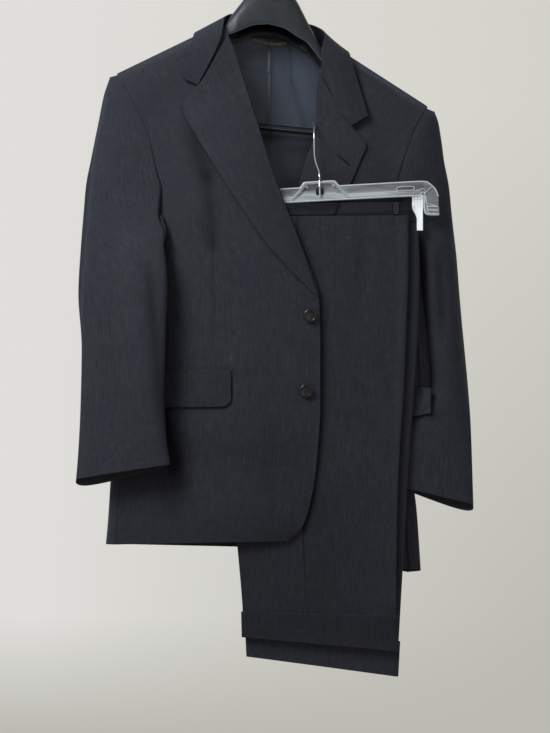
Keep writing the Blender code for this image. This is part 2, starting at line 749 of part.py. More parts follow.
def trousers():
    for name, rows, y in (("near", NEAR_LEG, NEAR_LEG_Y), ("far", FAR_LEG, FAR_LEG_Y)):
        seam = math.degrees(math.acos(2 * LEG_SEAM - 1))
        gap = 0.25
        wall("leg_front_" + name, leg_panel(rows, y, -seam + gap, seam - gap), 12, 12,
             LIGHT_CLOTH, wool)
        wall("leg_back_" + name, leg_panel(rows, y, seam + gap, 360 - seam - gap), 10, 12,
             LIGHT_CLOTH, wool)
        wall("turn_up_" + name, turn_up(rows, y), 24, 2, LIGHT_CLOTH, wool)


def waistband():
    wall("waistband_near", band_loop(NEAR_BAND, NEAR_LEG_Y, BAND_HALF), 24, 1, LIGHT_CLOTH, wool)
    wall("waistband_far", band_loop(FAR_BAND, FAR_LEG_Y, BAND_HALF), 24, 1, LIGHT_CLOTH, wool)
    front = NEAR_LEG_Y - BAND_HALF - LIGHT_CLOTH - REST

    def tab(u, v):
        x, top, bottom = between(TAB, u)
        return place(x, mix(top, bottom, v), front)
    wall("waistband_tab", tab, 8, 2, LIGHT_CLOTH, wool)
    for name, x in BELT_LOOPS:
        under_tab = TAB[0].x < x < TAB[-1].x
        y = front - LIGHT_CLOTH - REST if under_tab else front
        band_width = NEAR_BAND[-1].x - NEAR_BAND[0].x
        top, bottom = between(NEAR_BAND, (x - NEAR_BAND[0].x) / band_width)[1:]

        def loop(u, v, x=x, y=y, top=top, bottom=bottom):
            return place(x + (u - 0.5) * LOOP_WIDTH, mix(top + 1, bottom - 0.5, v), y)
        wall("belt_loop_" + name, loop, 1, 2, LIGHT_CLOTH, wool)


def clip_place(across, down, y):
    """A point of the clip hanger, across from its centre and down, leaned to its tilt."""
    lean = math.radians(CLIP_TILT)
    x, top = CLIP_CENTRE
    return place(x + across * math.cos(lean) - down * math.sin(lean),
                 top + across * math.sin(lean) + down * math.cos(lean), y)


Bar = namedtuple("Bar", "station across top bottom")

CLIP_BAR = [
    Bar("centre", 0, -11, 12.5),
    Bar("plate", 21, -11, 12.5),
    Bar("plate end", 31, -3, 12.5),
    Bar("arm", 60, -3, 12.5),
    Bar("far arm", 140, -3, 13),
    Bar("bend", 156, -2.5, 13.4),
    Bar("leg inside", 161, -1.5, 45),
    Bar("corner", 168, 4, 48),
    Bar("leg", 174, 12, 48),
    Bar("leg side", 177, 22, 48),
]


def clip_hanger_body():
    """The clear bar with its raised middle plate and a turned-down leg at each end."""
    def point(u, v):
        side_way = 2 * u - 1
        across, top, bottom = between(CLIP_BAR, abs(side_way))
        return clip_place(math.copysign(across, side_way), mix(top, bottom, v), CLIP_Y)
    wall("clip_hanger_body", point, 32, 3, CLIP_DEPTH, clear_plastic)


def clip_hanger_hook():
    """A wire that rises from the middle plate and turns back over the trouser bar."""
    points = [
        place(64, 354.3, CLIP_Y), place(64, 346, CLIP_Y), place(62.5, 338, CLIP_Y),
        place(59, 330, CLIP_Y), place(56, 318, CLIP_Y), place(55.5, 304, CLIP_Y),
    ]
    radius = (HOOK_BACK - CLIP_Y) / 2
    middle = (HOOK_BACK + CLIP_Y) / 2
    rise = math.sqrt(radius ** 2 - middle ** 2)
    centre_down = HOOK_BAR_TOP - CLIP_WIRE / 2 - REST + rise
    for step in range(13):
        turn = math.radians(step * 195 / 12)
        points.append(place(HOOK_X, centre_down - radius * math.sin(turn),
                            middle - radius * math.cos(turn)))
    wire("clip_hanger_hook", points, CLIP_WIRE, steel)


Clip = namedtuple("Clip", "side across back_y")

CLIPS = [Clip("left", -146.0, -31.7), Clip("right", 147.0, -32.4)]


def clips():
    """Two white spring clips; each is a jaw in front and a jaw behind the trousers' top."""
    for name, across, back_y in CLIPS:
        x = clip_place(across, 0, 0).x / MM
        top = -clip_place(across, CLIP_BAR[-5].bottom + 3.0, 0).z / MM
        for face, y in (("front", JAW_FRONT_Y), ("back", back_y)):
            def jaw(u, v, x=x, y=y, top=top, across=across):
                width = mix(JAW_WIDTH, JAW_FOOT, max(0.0, (v - 0.3) / 0.7))
                down = mix(top, 428, v)
                lean = math.copysign((JAW_WIDTH - width) / 2, across)
                return place(x + (u - 0.5) * width + lean, down, y)
            wall(f"clip_{name}_{face}", jaw, 2, 4, JAW_WALL, white_plastic)


def jacket_lining():
    """The half lining behind the neck opening, with a pleat down its middle, and a label."""
    right = tree(panel(RIGHT_BACK, SEAM), 8, 18)
    left = tree(panel(LEFT_BACK, SEAM), 8, 28)
    centre = RIGHT_BACK[UNDERARM_ROW].front_x

    def on_back(x, down, lift):
        pleat = PLEAT_RISE * math.exp(-((x + 5) / PLEAT_WIDTH) ** 2) * max(0.0, 1.5 - down / 280)
        return laid(right if x < centre else left, x, down, lift + pleat)

    def lining(u, v):
        down = mix(150, 470, v)
        reach = mix(50, 172, min(1.0, v * 1.8) ** 0.9) - 6 * v
        x = mix(-reach - 10, reach - 4, u)
        return on_back(x, down + 16 * abs(2 * u - 1) * (1 - v),
                       CLOTH / 2 + LINING + 3 * REST + 3 * (1 - v))
    wall("back_lining", lining, 16, 12, LINING, lining_satin)

    def label(u, v):
        down = mix(153, 161, v) + 6 * math.sin(math.pi * u)
        return on_back(mix(-36, 14, u), down, CLOTH / 2 + 2 * LINING + 3 + 6 * REST)
    wall("neck_label", label, 8, 1, 0.8, woven_label)


def sleeve_buttons():
    """Three small buttons beside each cuff's vent, on the under sleeve's back."""
    for name, rows, lift in (("right", RIGHT_SLEEVE, 4), ("left", LEFT_SLEEVE, 6)):
        for k in range(SLEEVE_BUTTONS):
            row_length = rows[-1].hub_down - rows[-2].hub_down
            share = 1.0 - (14.0 + SLEEVE_BUTTON_STEP * k) / row_length / (len(rows) - 1)
            x, down, y = ring_point(rows, share, 48.0)
            centre = place(x, down, y + CLOTH / 2 + BUTTON_HEIGHT / 2 + lift * REST)
            button(f"sleeve_button_{name}_{k + 1}", centre, SLEEVE_BUTTON_RADIUS, 1, dark_button)


clear_scene()
suit = bpy.data.collections.new("two_piece_suit")
bpy.context.scene.collection.children.link(suit)

wool = material("charcoal wool", (0.035, 0.035, 0.042), 0.85)
lining_satin = material("slate lining", (0.045, 0.05, 0.065), 0.45)
woven_label = material("gold woven label", (0.3, 0.22, 0.12), 0.6)
black_plastic = material("black plastic", (0.012, 0.012, 0.013), 0.3)
clear_plastic = material("clear plastic", (0.85, 0.88, 0.9), 0.08)
white_plastic = material("white clip plastic", (0.85, 0.87, 0.88), 0.4)
dark_button = material("dark button", (0.02, 0.02, 0.022), 0.25)
steel = material("steel", (0.62, 0.62, 0.63), 0.25, 1.0)

hanger_body()
hanger_bar()
hanger_hook()
jacket()
sleeves()
trousers()
waistband()
clip_hanger_body()
clip_hanger_hook()
clips()
jacket_lining()
sleeve_buttons()
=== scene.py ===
"""The looks of the two-piece suit: its cloth, buttons, hangers, light and camera.

Frame: metres, +X to the right as the suit is faced, -Y towards the viewer, +Z up, and the
origin where the black hanger's hook rests on its rail. Tables are in millimetres: x to the
right of the hook, down below it, y behind it, drawn on the plane through the hook. place()
carries each point along the sight line from EYE to its own depth.
"""
import math
from collections import namedtuple

import bmesh
import bpy
from mathutils import Matrix, Vector
from mathutils.bvhtree import BVHTree


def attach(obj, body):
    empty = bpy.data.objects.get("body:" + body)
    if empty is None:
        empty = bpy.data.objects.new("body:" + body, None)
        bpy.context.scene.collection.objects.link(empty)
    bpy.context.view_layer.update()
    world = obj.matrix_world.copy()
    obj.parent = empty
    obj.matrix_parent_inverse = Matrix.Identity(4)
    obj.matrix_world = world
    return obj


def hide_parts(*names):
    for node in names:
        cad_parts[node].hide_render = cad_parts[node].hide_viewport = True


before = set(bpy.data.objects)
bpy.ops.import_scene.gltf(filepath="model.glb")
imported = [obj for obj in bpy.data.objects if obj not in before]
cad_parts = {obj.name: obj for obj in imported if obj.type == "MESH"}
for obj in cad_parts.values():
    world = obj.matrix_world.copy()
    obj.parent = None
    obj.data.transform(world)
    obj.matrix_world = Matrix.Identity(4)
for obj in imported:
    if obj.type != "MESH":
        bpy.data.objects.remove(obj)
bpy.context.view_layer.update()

MM = 0.001
CLOTH = 1.5             # jacket cloth with its interlining
LIGHT_CLOTH = 1.2       # trouser cloth
LINING = 1.0
SEAM = 0.4              # parting at each side of a seam
REST = 0.35             # parting between layers that lie on each other
EYE = (-3.0, 632.0)     # where the sight line is square to the suit: x, down
EYE_DISTANCE = 1600.0

JACKET_TILT = 5.5       # degrees the black hanger leans, right end down
CLIP_TILT = -3.2        # degrees the clip hanger leans, right end up

HANGER_WALL = 2.5
BAR_DOWN = 274.0        # middle of the trouser bar below the hook, along the hanger
BAR_RADIUS = 5.5
HOOK_WIRE = 3.6
HOOK_RADIUS = 21.0

CLIP_CENTRE = (64.0, 366.0)
CLIP_Y = -42.0
CLIP_WIRE = 2.8
HOOK_X = 55.5           # the wire hook beside the lapel's edge
HOOK_BACK = 10.0        # y of the hook's far side, behind the bar
HOOK_BAR_TOP = 273.0    # the trouser bar's top at the hook
JAW_FRONT_Y = -39.2
JAW_WIDTH = 16.0
JAW_FOOT = 9.0          # a jaw's width at its foot
JAW_WALL = 2.0

NEAR_LEG_Y = -46.6
FAR_LEG_Y = -35.8
LEG_HALF = 2.6          # half the thickness of a folded leg
TURN_UP_HALF = 4.6
TURN_UP_REACH = 2.4     # how far a turn-up's folds stand past its leg's

BUTTON_RADIUS = 10.0
BUTTON_HEIGHT = 3.4
SLEEVE_BUTTON_RADIUS = 7.5

Edge = namedtuple("Edge", "row side_x side_down side_y front_x front_down front_y bulge")

RIGHT_FRONT = [
    Edge("shoulder seam", -239, 193, -1, -86, 119, -3, 0),
    Edge("shoulder slope", -233, 202, -15, -79, 127, -21, 4),
    Edge("yoke", -213, 236, -25, -65, 154, -29, 3),
    Edge("chest", -196, 272, -29, -51, 197, -33, 5),
    Edge("armhole", -185, 308, -32, -38, 238, -40, 9),
    Edge("armhole front", -178, 352, -33, -22, 292, -48, 12),
    Edge("underarm", -218, 440, -16, 8, 380, -54, 20),
    Edge("roll", -222, 500, -18, 42, 468, -55, 20),
    Edge("button", -226, 556, -18, 62, 530, -55, 20),
    Edge("waist", -228, 610, -18, 64, 600, -55, 20),
    Edge("pocket", -230, 680, -18, 64, 690, -55, 20),
    Edge("hip", -232, 760, -18, 60, 760, -55, 20),
    Edge("low button", -235, 820, -18, 52, 822, -55, 20),
    Edge("corner", -238, 866, -18, 36, 874, -55, 20),
    Edge("hem", -241, 899, -18, 14, 894, -55, 20),
]
LEFT_FRONT = [
    Edge("shoulder seam", 225, 242, -1, 76, 146, -3, 0),
    Edge("shoulder slope", 220, 252, -15, 74, 156, -20, 3),
    Edge("yoke", 209, 272, -23, 64, 194, -22, 3),
    Edge("chest", 199, 296, -27, 60, 232, -21, 1),
    Edge("armhole", 187, 330, -29, 60, 280, -20, 0),
    Edge("armhole front", 181, 360, -27, 46, 318, -20, 0),
    Edge("underarm", 194, 446, -16, 26, 400, -20, 0),
    Edge("roll", 198, 505, -16, 20, 480, -20, 0),
    Edge("button", 204, 556, -16, 16, 560, -20, 0),
    Edge("waist", 210, 610, -16, 14, 630, -20, 0),
    Edge("pocket", 212, 660, -16, 14, 690, -20, 0),
    Edge("hip", 184, 700, -6, 14, 760, -20, 0),
    Edge("low button", 180, 760, 3, 16, 822, -20, 0),
    Edge("corner", 190, 850, 2, 24, 884, -20, 0),
    Edge("hem", 196, 936, -2, 60, 928, -20, 0),
]
# On the back the "front" columns are the centre seam.
RIGHT_BACK = [
    Edge("shoulder seam", -239, 193, 1, -86, 120, 3, 0),
    Edge("shoulder slope", -233, 202, 15, -60, 122, 26, 3),
    Edge("yoke", -213, 236, 25, -4, 140, 32, 0),
    Edge("chest", -196, 272, 29, -6, 190, 35, 0),
    Edge("armhole", -187, 308, 30, -8, 240, 37, 0),
    Edge("armhole front", -184, 352, 29, -10, 300, 38, 0),
    Edge("underarm", -218, 440, 16, -12, 390, 38, 5),
    Edge("roll", -222, 500, 16, -13, 470, 36, 6),
    Edge("button", -226, 556, 16, -14, 545, 34, 6),
    Edge("waist", -228, 610, 16, -16, 610, 34, 6),
    Edge("pocket", -230, 680, 16, -17, 690, 35, 6),
    Edge("hip", -232, 760, 16, -19, 760, 36, 6),
    Edge("low button", -235, 820, 16, -20, 826, 36, 6),
    Edge("corner", -238, 866, 16, -22, 880, 36, 6),
    Edge("hem", -241, 898, 16, -23, 903, 36, 6),
]
LEFT_BACK = [
    Edge("shoulder seam", 225, 242, 1, 76, 146, 3, 0),
    Edge("shoulder slope", 220, 252, 15, 52, 148, 26, 3),
    Edge("yoke", 209, 272, 24, -4, 140, 32, 0),
    Edge("chest", 199, 296, 28, -6, 190, 35, 0),
    Edge("armhole", 189, 330, 30, -8, 240, 37, 0),
    Edge("armhole front", 185, 360, 29, -10, 300, 38, 0),
    Edge("underarm", 194, 446, 16, -12, 390, 38, 5),
    Edge("roll", 198, 505, 16, -13, 470, 36, 6),
    Edge("button", 204, 556, 16, -14, 545, 34, 6),
    Edge("waist", 210, 610, 16, -16, 610, 34, 6),
    Edge("pocket", 212, 660, 16, -17, 690, 35, 6),
    Edge("hip", 184, 700, 17, -19, 760, 36, 6),
    Edge("low button", 180, 760, 20, -20, 826, 36, 6),
    Edge("corner", 190, 850, 20, -22, 880, 36, 6),
    Edge("hem", 196, 940, 18, -23, 903, 36, 6),
]
UNDERARM_ROW = 6
SIDE_REACH = 15.0       # the side body's fold beyond its two seams

Ring = namedtuple("Ring", "row hub_x hub_down hub_y out_x out_down out_y half front back")

RIGHT_SLEEVE = [
    Ring("cap top", -238, 195, 0, -250, 198, 0, 4, -90, 90),
    Ring("cap", -226, 216, 0, -259, 224, 0, 20, -90, 90),
    Ring("cap slope", -209, 248, 0, -266, 257, 0, 27, -90, 90),
    Ring("cap front", -193, 300, -2, -276, 303, -2, 31, -90, 90),
    Ring("cap base", -186, 350, -4, -284, 352, -4, 33, -96, 88),
    Ring("notch", -210, 404, -19, -289, 400, -8, 25, -117, 60),
    Ring("biceps", -231, 452, -38, -293, 450, -14, 15, -172, 10),
    Ring("elbow", -231, 520, -49, -297, 524, -22, 14, -180, -15),
    Ring("below elbow", -230, 600, -53, -292, 604, -26, 14, -180, -20),
    Ring("forearm", -232, 690, -54, -294, 698, -28, 14, -180, -20),
    Ring("wrist", -232, 746, -55, -297, 756, -30, 14, -180, -20),
    Ring("cuff", -231, 790, -56, -301, 801, -32, 14, -180, -20),
]
LEFT_SLEEVE = [
    Ring("cap top", 225, 245, 0, 236, 250, 0, 4, -90, 90),
    Ring("cap", 217, 262, 0, 242, 266, 0, 20, -90, 90),
    Ring("cap slope", 207, 284, 0, 246, 288, 0, 26, -90, 90),
    Ring("cap front", 194, 322, 0, 251, 324, 0, 29, -90, 90),
    Ring("cap base", 188, 356, 1, 257, 356, 0, 30, -92, 88),
    Ring("notch", 208, 410, 4, 262, 408, 3, 30, -105, 65),
    Ring("biceps", 239, 452, 6, 266, 450, 5, 33, -165, 15),
    Ring("elbow", 244.4, 520, 7, 272, 520, 6, 34, -180, 0),
    Ring("below elbow", 252.8, 600, 8, 280, 602, 6, 33, -180, -5),
    Ring("forearm", 258.4, 660, 7, 286, 666, 6, 29, -180, -10),
    Ring("above wrist", 250, 700, -4, 289, 706, 0, 21, -180, -12),
    Ring("wrist", 240, 740, -15, 291, 748, -10, 13, -180, -15),
    Ring("cuff", 232, 824, -19, 294, 839, -18, 9.5, -180, -20),
]
Spot = namedtuple("Spot", "place x down y")

# The under sleeve's top edge, from the back notch under the arm to the front notch.
RIGHT_UNDERARM = [
    Spot("back notch", -191, 352, 28),
    Spot("back", -203, 392, 27),
    Spot("low back", -215, 430, 20),
    Spot("side", -237.5, 438, 2),
    Spot("low front", -224, 438, -22),
    Spot("front", -190, 424, -38),
    Spot("front notch", -172, 404, -43),
]
LEFT_UNDERARM = [
    Spot("back notch", 190, 356, 32),
    Spot("back", 190, 396, 31),
    Spot("low back", 198, 441, 22.5),
    Spot("side", 212.5, 446.8, 3),
    Spot("low front", 212.5, 444, -2),
    Spot("front", 209, 439, -7),
    Spot("front notch", 203, 432, -12),
]
BACK_NOTCH = 4.0        # the sleeve rows where the under sleeve starts
RIGHT_FRONT_NOTCH = 5.0
LEFT_FRONT_NOTCH = 5.5
RIGHT_FRONT_HOLD = 3.4  # the sleeve rows down to which the top sleeve keeps to the armhole
LEFT_FRONT_HOLD = 4.6
BACK_HOLD = 3.4
HOLD_FADE = 0.9
CUFF_DROP = 12.0        # how much lower a cuff hangs behind than in front
UNDER_BLEND = 0.22      # share of the under sleeve that fairs into the armhole
UNDER_LEAN = 1.6        # crowds the under sleeve's columns towards the outer fold

Strip = namedtuple("Strip", "row outer_x outer_down outer_y inner_x inner_down inner_y")

RIGHT_LAPEL = [
    Strip("gorge", -117, 214, 0, -74, 134, 0),
    Strip("tip", -141, 244, 0, -62, 162, 0),
    Strip("below tip", -122, 284, 0, -50, 201, 0),
    Strip("chest", -100, 320, 0, -38, 239, 0),
    Strip("upper curve", -76, 358, 0, -26, 278, 0),
    Strip("curve", -50, 398, 0, -13, 320, 0),
    Strip("lower curve", -24, 436, 0, 2, 364, 0),
    Strip("belly", 6, 472, 0, 18, 404, 0),
    Strip("low", 34, 501, 0, 34, 446, 0),
    Strip("break", 57, 524, 0, 52, 496, 0),
    Strip("end", 62, 530, 0, 60, 524, 0),
]
LEFT_LAPEL = [
    Strip("gorge", 110, 273, 0, 65, 194, 0),
    Strip("tip", 134, 301, 0, 62, 225, 0),
    Strip("below tip", 126, 322, 0, 61, 250, 0),
    Strip("chest", 116, 346, 0, 59, 280, 0),
    Strip("upper curve", 104, 372, 0, 46, 316, 0),
    Strip("curve", 92, 400, 0, 36, 350, 0),
    Strip("lower curve", 76, 440, 0, 28, 400, 0),
    Strip("belly", 56, 480, 0, 22, 446, 0),
    Strip("break", 26, 530, 0, 18, 520, 0),
]
COLLAR = [
    Strip("right point", -142, 199, -38, -119, 210, -38),
    Strip("right front", -136, 176, -36, -101, 176, -36),
    Strip("right side", -129, 152, -32, -84, 138, -33),
    Strip("right shoulder", -122, 131, -6, -77, 107, -12),
    Strip("right back", -102, 140, 30, -62, 103, 22),
    Strip("behind right", -52, 158, 41, -34, 104, 30),
    Strip("centre back", -3, 166, 43, -3, 108, 33),
    Strip("behind left", 46, 170, 41, 30, 114, 30),
    Strip("left back", 90, 171, 34, 58, 122, 23),
    Strip("left shoulder", 106, 160, -6, 72, 134, -12),
    Strip("left side", 113, 178, -29, 66, 164, -28),
    Strip("left front", 125, 216, -32, 84, 228, -29),
    Strip("left point", 137, 256, -35, 111, 271, -33),
]
STAND = [
    Strip("right end", -62, 134, 21.6, -57, 112, 20.8),
    Strip("behind right", -38, 138, 23.6, -34, 112, 21.6),
    Strip("centre back", -3, 142, 24.6, -3, 115, 22.4),
    Strip("behind left", 32, 149, 24.0, 28, 121, 22.0),
    Strip("left end", 56, 154, 22.0, 51, 132, 21.2),
]
Flap = namedtuple("Flap", "station x top bottom")

RIGHT_FLAP = [
    Flap("sleeve end", -217, 642, 692),
    Flap("quarter", -180, 640, 693),
    Flap("middle", -140, 637, 693),
    Flap("three quarters", -100, 636, 693),
    Flap("round", -80, 637, 692),
    Flap("front end", -69, 638, 684),
]
Overhang = namedtuple("Overhang", "station x top bottom top_y bottom_y")

# The left flap lies on its front and reaches past the side, over the sleeve behind it.
LEFT_FLAP = [
    Overhang("front end", 76, 656, 700, -21.0, -23.0),
    Overhang("round", 88, 657, 706, -20.8, -23.5),
    Overhang("quarter", 120, 658, 707, -20.1, -24.0),
    Overhang("middle", 160, 661, 707, -19.1, -25.5),
    Overhang("three quarters", 198, 663, 707, -18.4, -28.4),
    Overhang("sleeve end", 231, 664, 702, -27.7, -28.9),
]
FRONT_BUTTONS = [("upper", 50, 556), ("lower", 44, 669)]

Leg = namedtuple("Leg", "row left left_down right right_down")

NEAR_LEG = [
    Leg("waist", -92, 407, 197, 405),
    Leg("seat", -92, 472, 197, 472),
    Leg("crotch", -90, 562, 194, 562),
    Leg("thigh", -84, 660, 190, 664),
    Leg("knee", -74, 760, 183, 768),
    Leg("calf", -62, 870, 179, 880),
    Leg("turn-up top", -51, 998, 178, 1004),
    Leg("bottom", -50, 1038, 180, 1060),
]
FAR_LEG = [
    Leg("waist", -86, 407, 211, 416),
    Leg("seat", -88, 472, 213, 480),
    Leg("crotch", -86, 562, 211, 566),
    Leg("thigh", -80, 660, 205, 668),
    Leg("knee", -70, 760, 197, 776),
    Leg("calf", -56, 884, 190, 900),
    Leg("turn-up top", -45, 1026, 182, 1042),
    Leg("bottom", -43, 1067, 179, 1097),
]
LEG_SEAM = 0.42         # share of a leg's width from its left edge to its side seams
TURN_UP = 0.75          # where a turn-up starts, between the last two rows of its leg

Band = namedtuple("Band", "station x top bottom")

# Along the top of the folded trousers; the near band shows its front, the far band its end.
NEAR_BAND = [
    Band("left fold", -92, 389, 406),
    Band("middle", 50, 387, 405.5),
    Band("right fold", 200, 385, 404),
]
FAR_BAND = [
    Band("left fold", -86, 389, 406),
    Band("middle", 60, 387, 409),
    Band("right fold", 214, 385, 415),
]
TAB = [
    Band("hidden end", -20, 388, 405),
    Band("middle", 40, 387, 404.5),
    Band("slant", 84, 387, 404),
    Band("point", 92, 387, 388),
]
PLEAT_RISE = 3.0
PLEAT_WIDTH = 12.0
BAND_HALF = 1.8         # half the thickness of a folded waistband
BELT_LOOPS = [("right", 179), ("left", -50)]
LOOP_WIDTH = 8.0
SLEEVE_BUTTONS = 3
SLEEVE_BUTTON_STEP = 16.0

Arm = namedtuple("Arm", "station u top half wall")

HANGER_ARM = [
    Arm("neck", 0, 68, 18, 56),
    Arm("neck side", 20, 70, 18, 57),
    Arm("neck edge", 36, 82, 18, 52),
    Arm("throat", 46, 97, 18, 42.5),
    Arm("slope", 62, 122, 16, 26),
    Arm("collar", 82, 148.6, 16, 20),
    Arm("upper arm", 120, 177, 17, 28),
    Arm("arm", 160, 201, 18, 32),
    Arm("shoulder", 184, 218, 18, 26),
    Arm("end", 197, 228, 16, 16),
    Arm("tip", 202, 238, 12, 7),
]
BACK_RIM_DROP = 5.0     # how much deeper the hanger's back wall is than its front wall

Bar = namedtuple("Bar", "station across top bottom")

CLIP_BAR = [
    Bar("centre", 0, -11, 12.5),
    Bar("plate", 21, -11, 12.5),
    Bar("plate end", 31, -3, 12.5),
    Bar("arm", 60, -3, 12.5),
    Bar("far arm", 140, -3, 13),
    Bar("bend", 156, -2.5, 13.4),
    Bar("leg inside", 161, -1.5, 45),
    Bar("corner", 168, 4, 48),
    Bar("leg", 174, 12, 48),
    Bar("leg side", 177, 22, 48),
]

Clip = namedtuple("Clip", "side across back_y")

CLIPS = [Clip("left", -146.0, -31.7), Clip("right", 147.0, -32.4)]


def mix(a, b, share):
    return a + (b - a) * share


def smooth(share):
    """A share from 0 to 1 that starts and ends level."""
    share = min(max(share, 0.0), 1.0)
    return share * share * (3 - 2 * share)


# ---------------------------------------------------------------- finishes


def node(tree, kind, **settings):
    """Adds a shader node; settings are its own properties, or numbers on its sockets."""
    made = tree.nodes.new("ShaderNode" + kind)
    for key, value in settings.items():
        if key.startswith("in_"):
            made.inputs[int(key[3:])].default_value = value
        else:
            setattr(made, key, value)
    return made


def finish_base(name, colour, roughness, metallic=0.0):
    """A Principled material, with its tree and its shader."""
    made = bpy.data.materials.new(name)
    made.use_nodes = True
    tree = made.node_tree
    shader = tree.nodes["Principled BSDF"]
    shader.inputs["Base Color"].default_value = (*colour, 1.0)
    shader.inputs["Roughness"].default_value = roughness
    shader.inputs["Metallic"].default_value = metallic
    return made, tree, shader


def ramp(tree, source, low, high, low_value, high_value):
    """Carries source from low..high to low_value..high_value, held at both ends."""
    made = node(tree, "MapRange", in_1=low, in_2=high, in_3=low_value, in_4=high_value)
    tree.links.new(source, made.inputs[0])
    return made.outputs[0]


def maths(tree, operation, first, second):
    made = node(tree, "Math", operation=operation)
    for socket, value in zip(made.inputs, (first, second)):
        if isinstance(value, (int, float)):
            socket.default_value = value
        else:
            tree.links.new(value, socket)
    return made.outputs[0]


def blended(tree, factor, first, second):
    """A colour between first and second, each a colour or a socket."""
    made = node(tree, "Mix", data_type="RGBA")
    tree.links.new(factor, made.inputs[0])
    for socket, value in ((made.inputs[6], first), (made.inputs[7], second)):
        if isinstance(value, tuple):
            socket.default_value = (*value, 1.0)
        else:
            tree.links.new(value, socket)
    return made.outputs[2]


def cloudy(tree, coordinates, scale, stretch=(1, 1, 1), detail=2.0):
    """Soft noise on the coordinates, stretched along an axis where stretch is below 1."""
    mapping = node(tree, "Mapping")
    mapping.inputs["Scale"].default_value = stretch
    tree.links.new(coordinates, mapping.inputs["Vector"])
    made = node(tree, "TexNoise")
    made.inputs["Scale"].default_value = scale
    made.inputs["Detail"].default_value = detail
    tree.links.new(mapping.outputs[0], made.inputs["Vector"])
    return made.outputs[0]


def bumped(tree, shader, height, distance, strength=1.0):
    made = node(tree, "Bump")
    made.inputs["Strength"].default_value = strength
    made.inputs["Distance"].default_value = distance
    tree.links.new(height, made.inputs["Height"])
    tree.links.new(made.outputs[0], shader.inputs["Normal"])


NAILHEAD_PITCH = 0.0013
NAILHEAD_BUMP = 0.00012
SLUB_SCALE = 330.0


def shaded(tree, colour):
    """Darkens a colour by the piece's painted shade, held in its shade attribute: painted shade
    deep in folds, along seams and in painted shadows, and a painted highlight where it rises above
    1.
    """
    shade = node(tree, "Attribute", attribute_name="shade").outputs["Fac"]
    lit = node(tree, "VectorMath", operation="SCALE")
    tree.links.new(colour, lit.inputs[0])
    tree.links.new(shade, lit.inputs[3])
    return lit.outputs[0]


def worsted(name, ground, fleck, warm):
    """Fine nailhead worsted on the piece's cut: dark ground, lighter flecks, mottled tone."""
    made, tree, shader = finish_base(name, ground, 0.82)
    cut = node(tree, "UVMap", uv_map="cut").outputs[0]
    parts = node(tree, "SeparateXYZ")
    tree.links.new(cut, parts.inputs[0])
    turns = 2 * math.pi / NAILHEAD_PITCH
    warp = maths(tree, "SINE", maths(tree, "MULTIPLY", parts.outputs[0], turns), 0)
    weft = maths(tree, "SINE", maths(tree, "MULTIPLY", parts.outputs[1], turns), 0)
    lattice = maths(tree, "MULTIPLY", warp, weft)
    slub = cloudy(tree, cut, SLUB_SCALE, (1.0, 0.4, 1.0), 3.0)
    lattice = maths(tree, "ADD", lattice, maths(tree, "MULTIPLY", slub, 1.3))
    head = ramp(tree, lattice, 0.75, 1.35, 0.0, 1.0)
    cloud = cloudy(tree, cut, 22.0, (1.0, 0.7, 1.0), 4.0)
    tone = ramp(tree, cloud, 0.3, 0.7, 0.15, 0.85)
    ground_colour = blended(tree, tone, ground, warm)
    flecked = blended(tree, head, ground_colour, fleck)
    streak = cloudy(tree, cut, 900.0, (1.0, 0.03, 1.0))
    mottle = maths(tree, "MULTIPLY", ramp(tree, streak, 0.3, 0.7, 0.78, 1.22),
                   ramp(tree, cloudy(tree, cut, 70.0, detail=5.0), 0.3, 0.7, 0.9, 1.1))
    lit = node(tree, "VectorMath", operation="SCALE")
    tree.links.new(flecked, lit.inputs[0])
    tree.links.new(mottle, lit.inputs[3])
    # The cloth's colour is darkened by its painted shade and lightened by its painted highlights.
    tree.links.new(shaded(tree, lit.outputs[0]), shader.inputs["Base Color"])
    tree.links.new(ramp(tree, slub, 0.2, 0.8, 0.74, 0.9), shader.inputs["Roughness"])
    shader.inputs["Specular IOR Level"].default_value = 0.25
    shader.inputs["Sheen Weight"].default_value = 0.1
    shader.inputs["Sheen Roughness"].default_value = 0.45
    shader.inputs["Sheen Tint"].default_value = (0.7, 0.8, 1.0, 1.0)
    bumped(tree, shader, lattice, NAILHEAD_BUMP, 0.6)
    return made


def satin(name, colour):
    """Lining satin: smooth, with a soft broad sheen and faint ribs."""
    made, tree, shader = finish_base(name, colour, 0.38)
    cut = node(tree, "UVMap", uv_map="cut").outputs[0]
    soft = cloudy(tree, cut, 14.0, (1.0, 0.4, 1.0))
    darker = tuple(0.7 * c for c in colour)
    lighter = tuple(1.35 * c for c in colour)
    tone = blended(tree, ramp(tree, soft, 0.3, 0.7, 0.0, 1.0), darker, lighter)
    # The satin's colour takes the lining's painted shade and painted highlights.
    tree.links.new(shaded(tree, tone), shader.inputs["Base Color"])
    fine = cloudy(tree, cut, 1400.0, (1.0, 0.1, 1.0))
    tree.links.new(ramp(tree, fine, 0.3, 0.7, 0.33, 0.45), shader.inputs["Roughness"])
    shader.inputs["Sheen Weight"].default_value = 0.2
    shader.inputs["Sheen Roughness"].default_value = 0.3
    bumped(tree, shader, fine, 0.00003, 0.4)
    return made


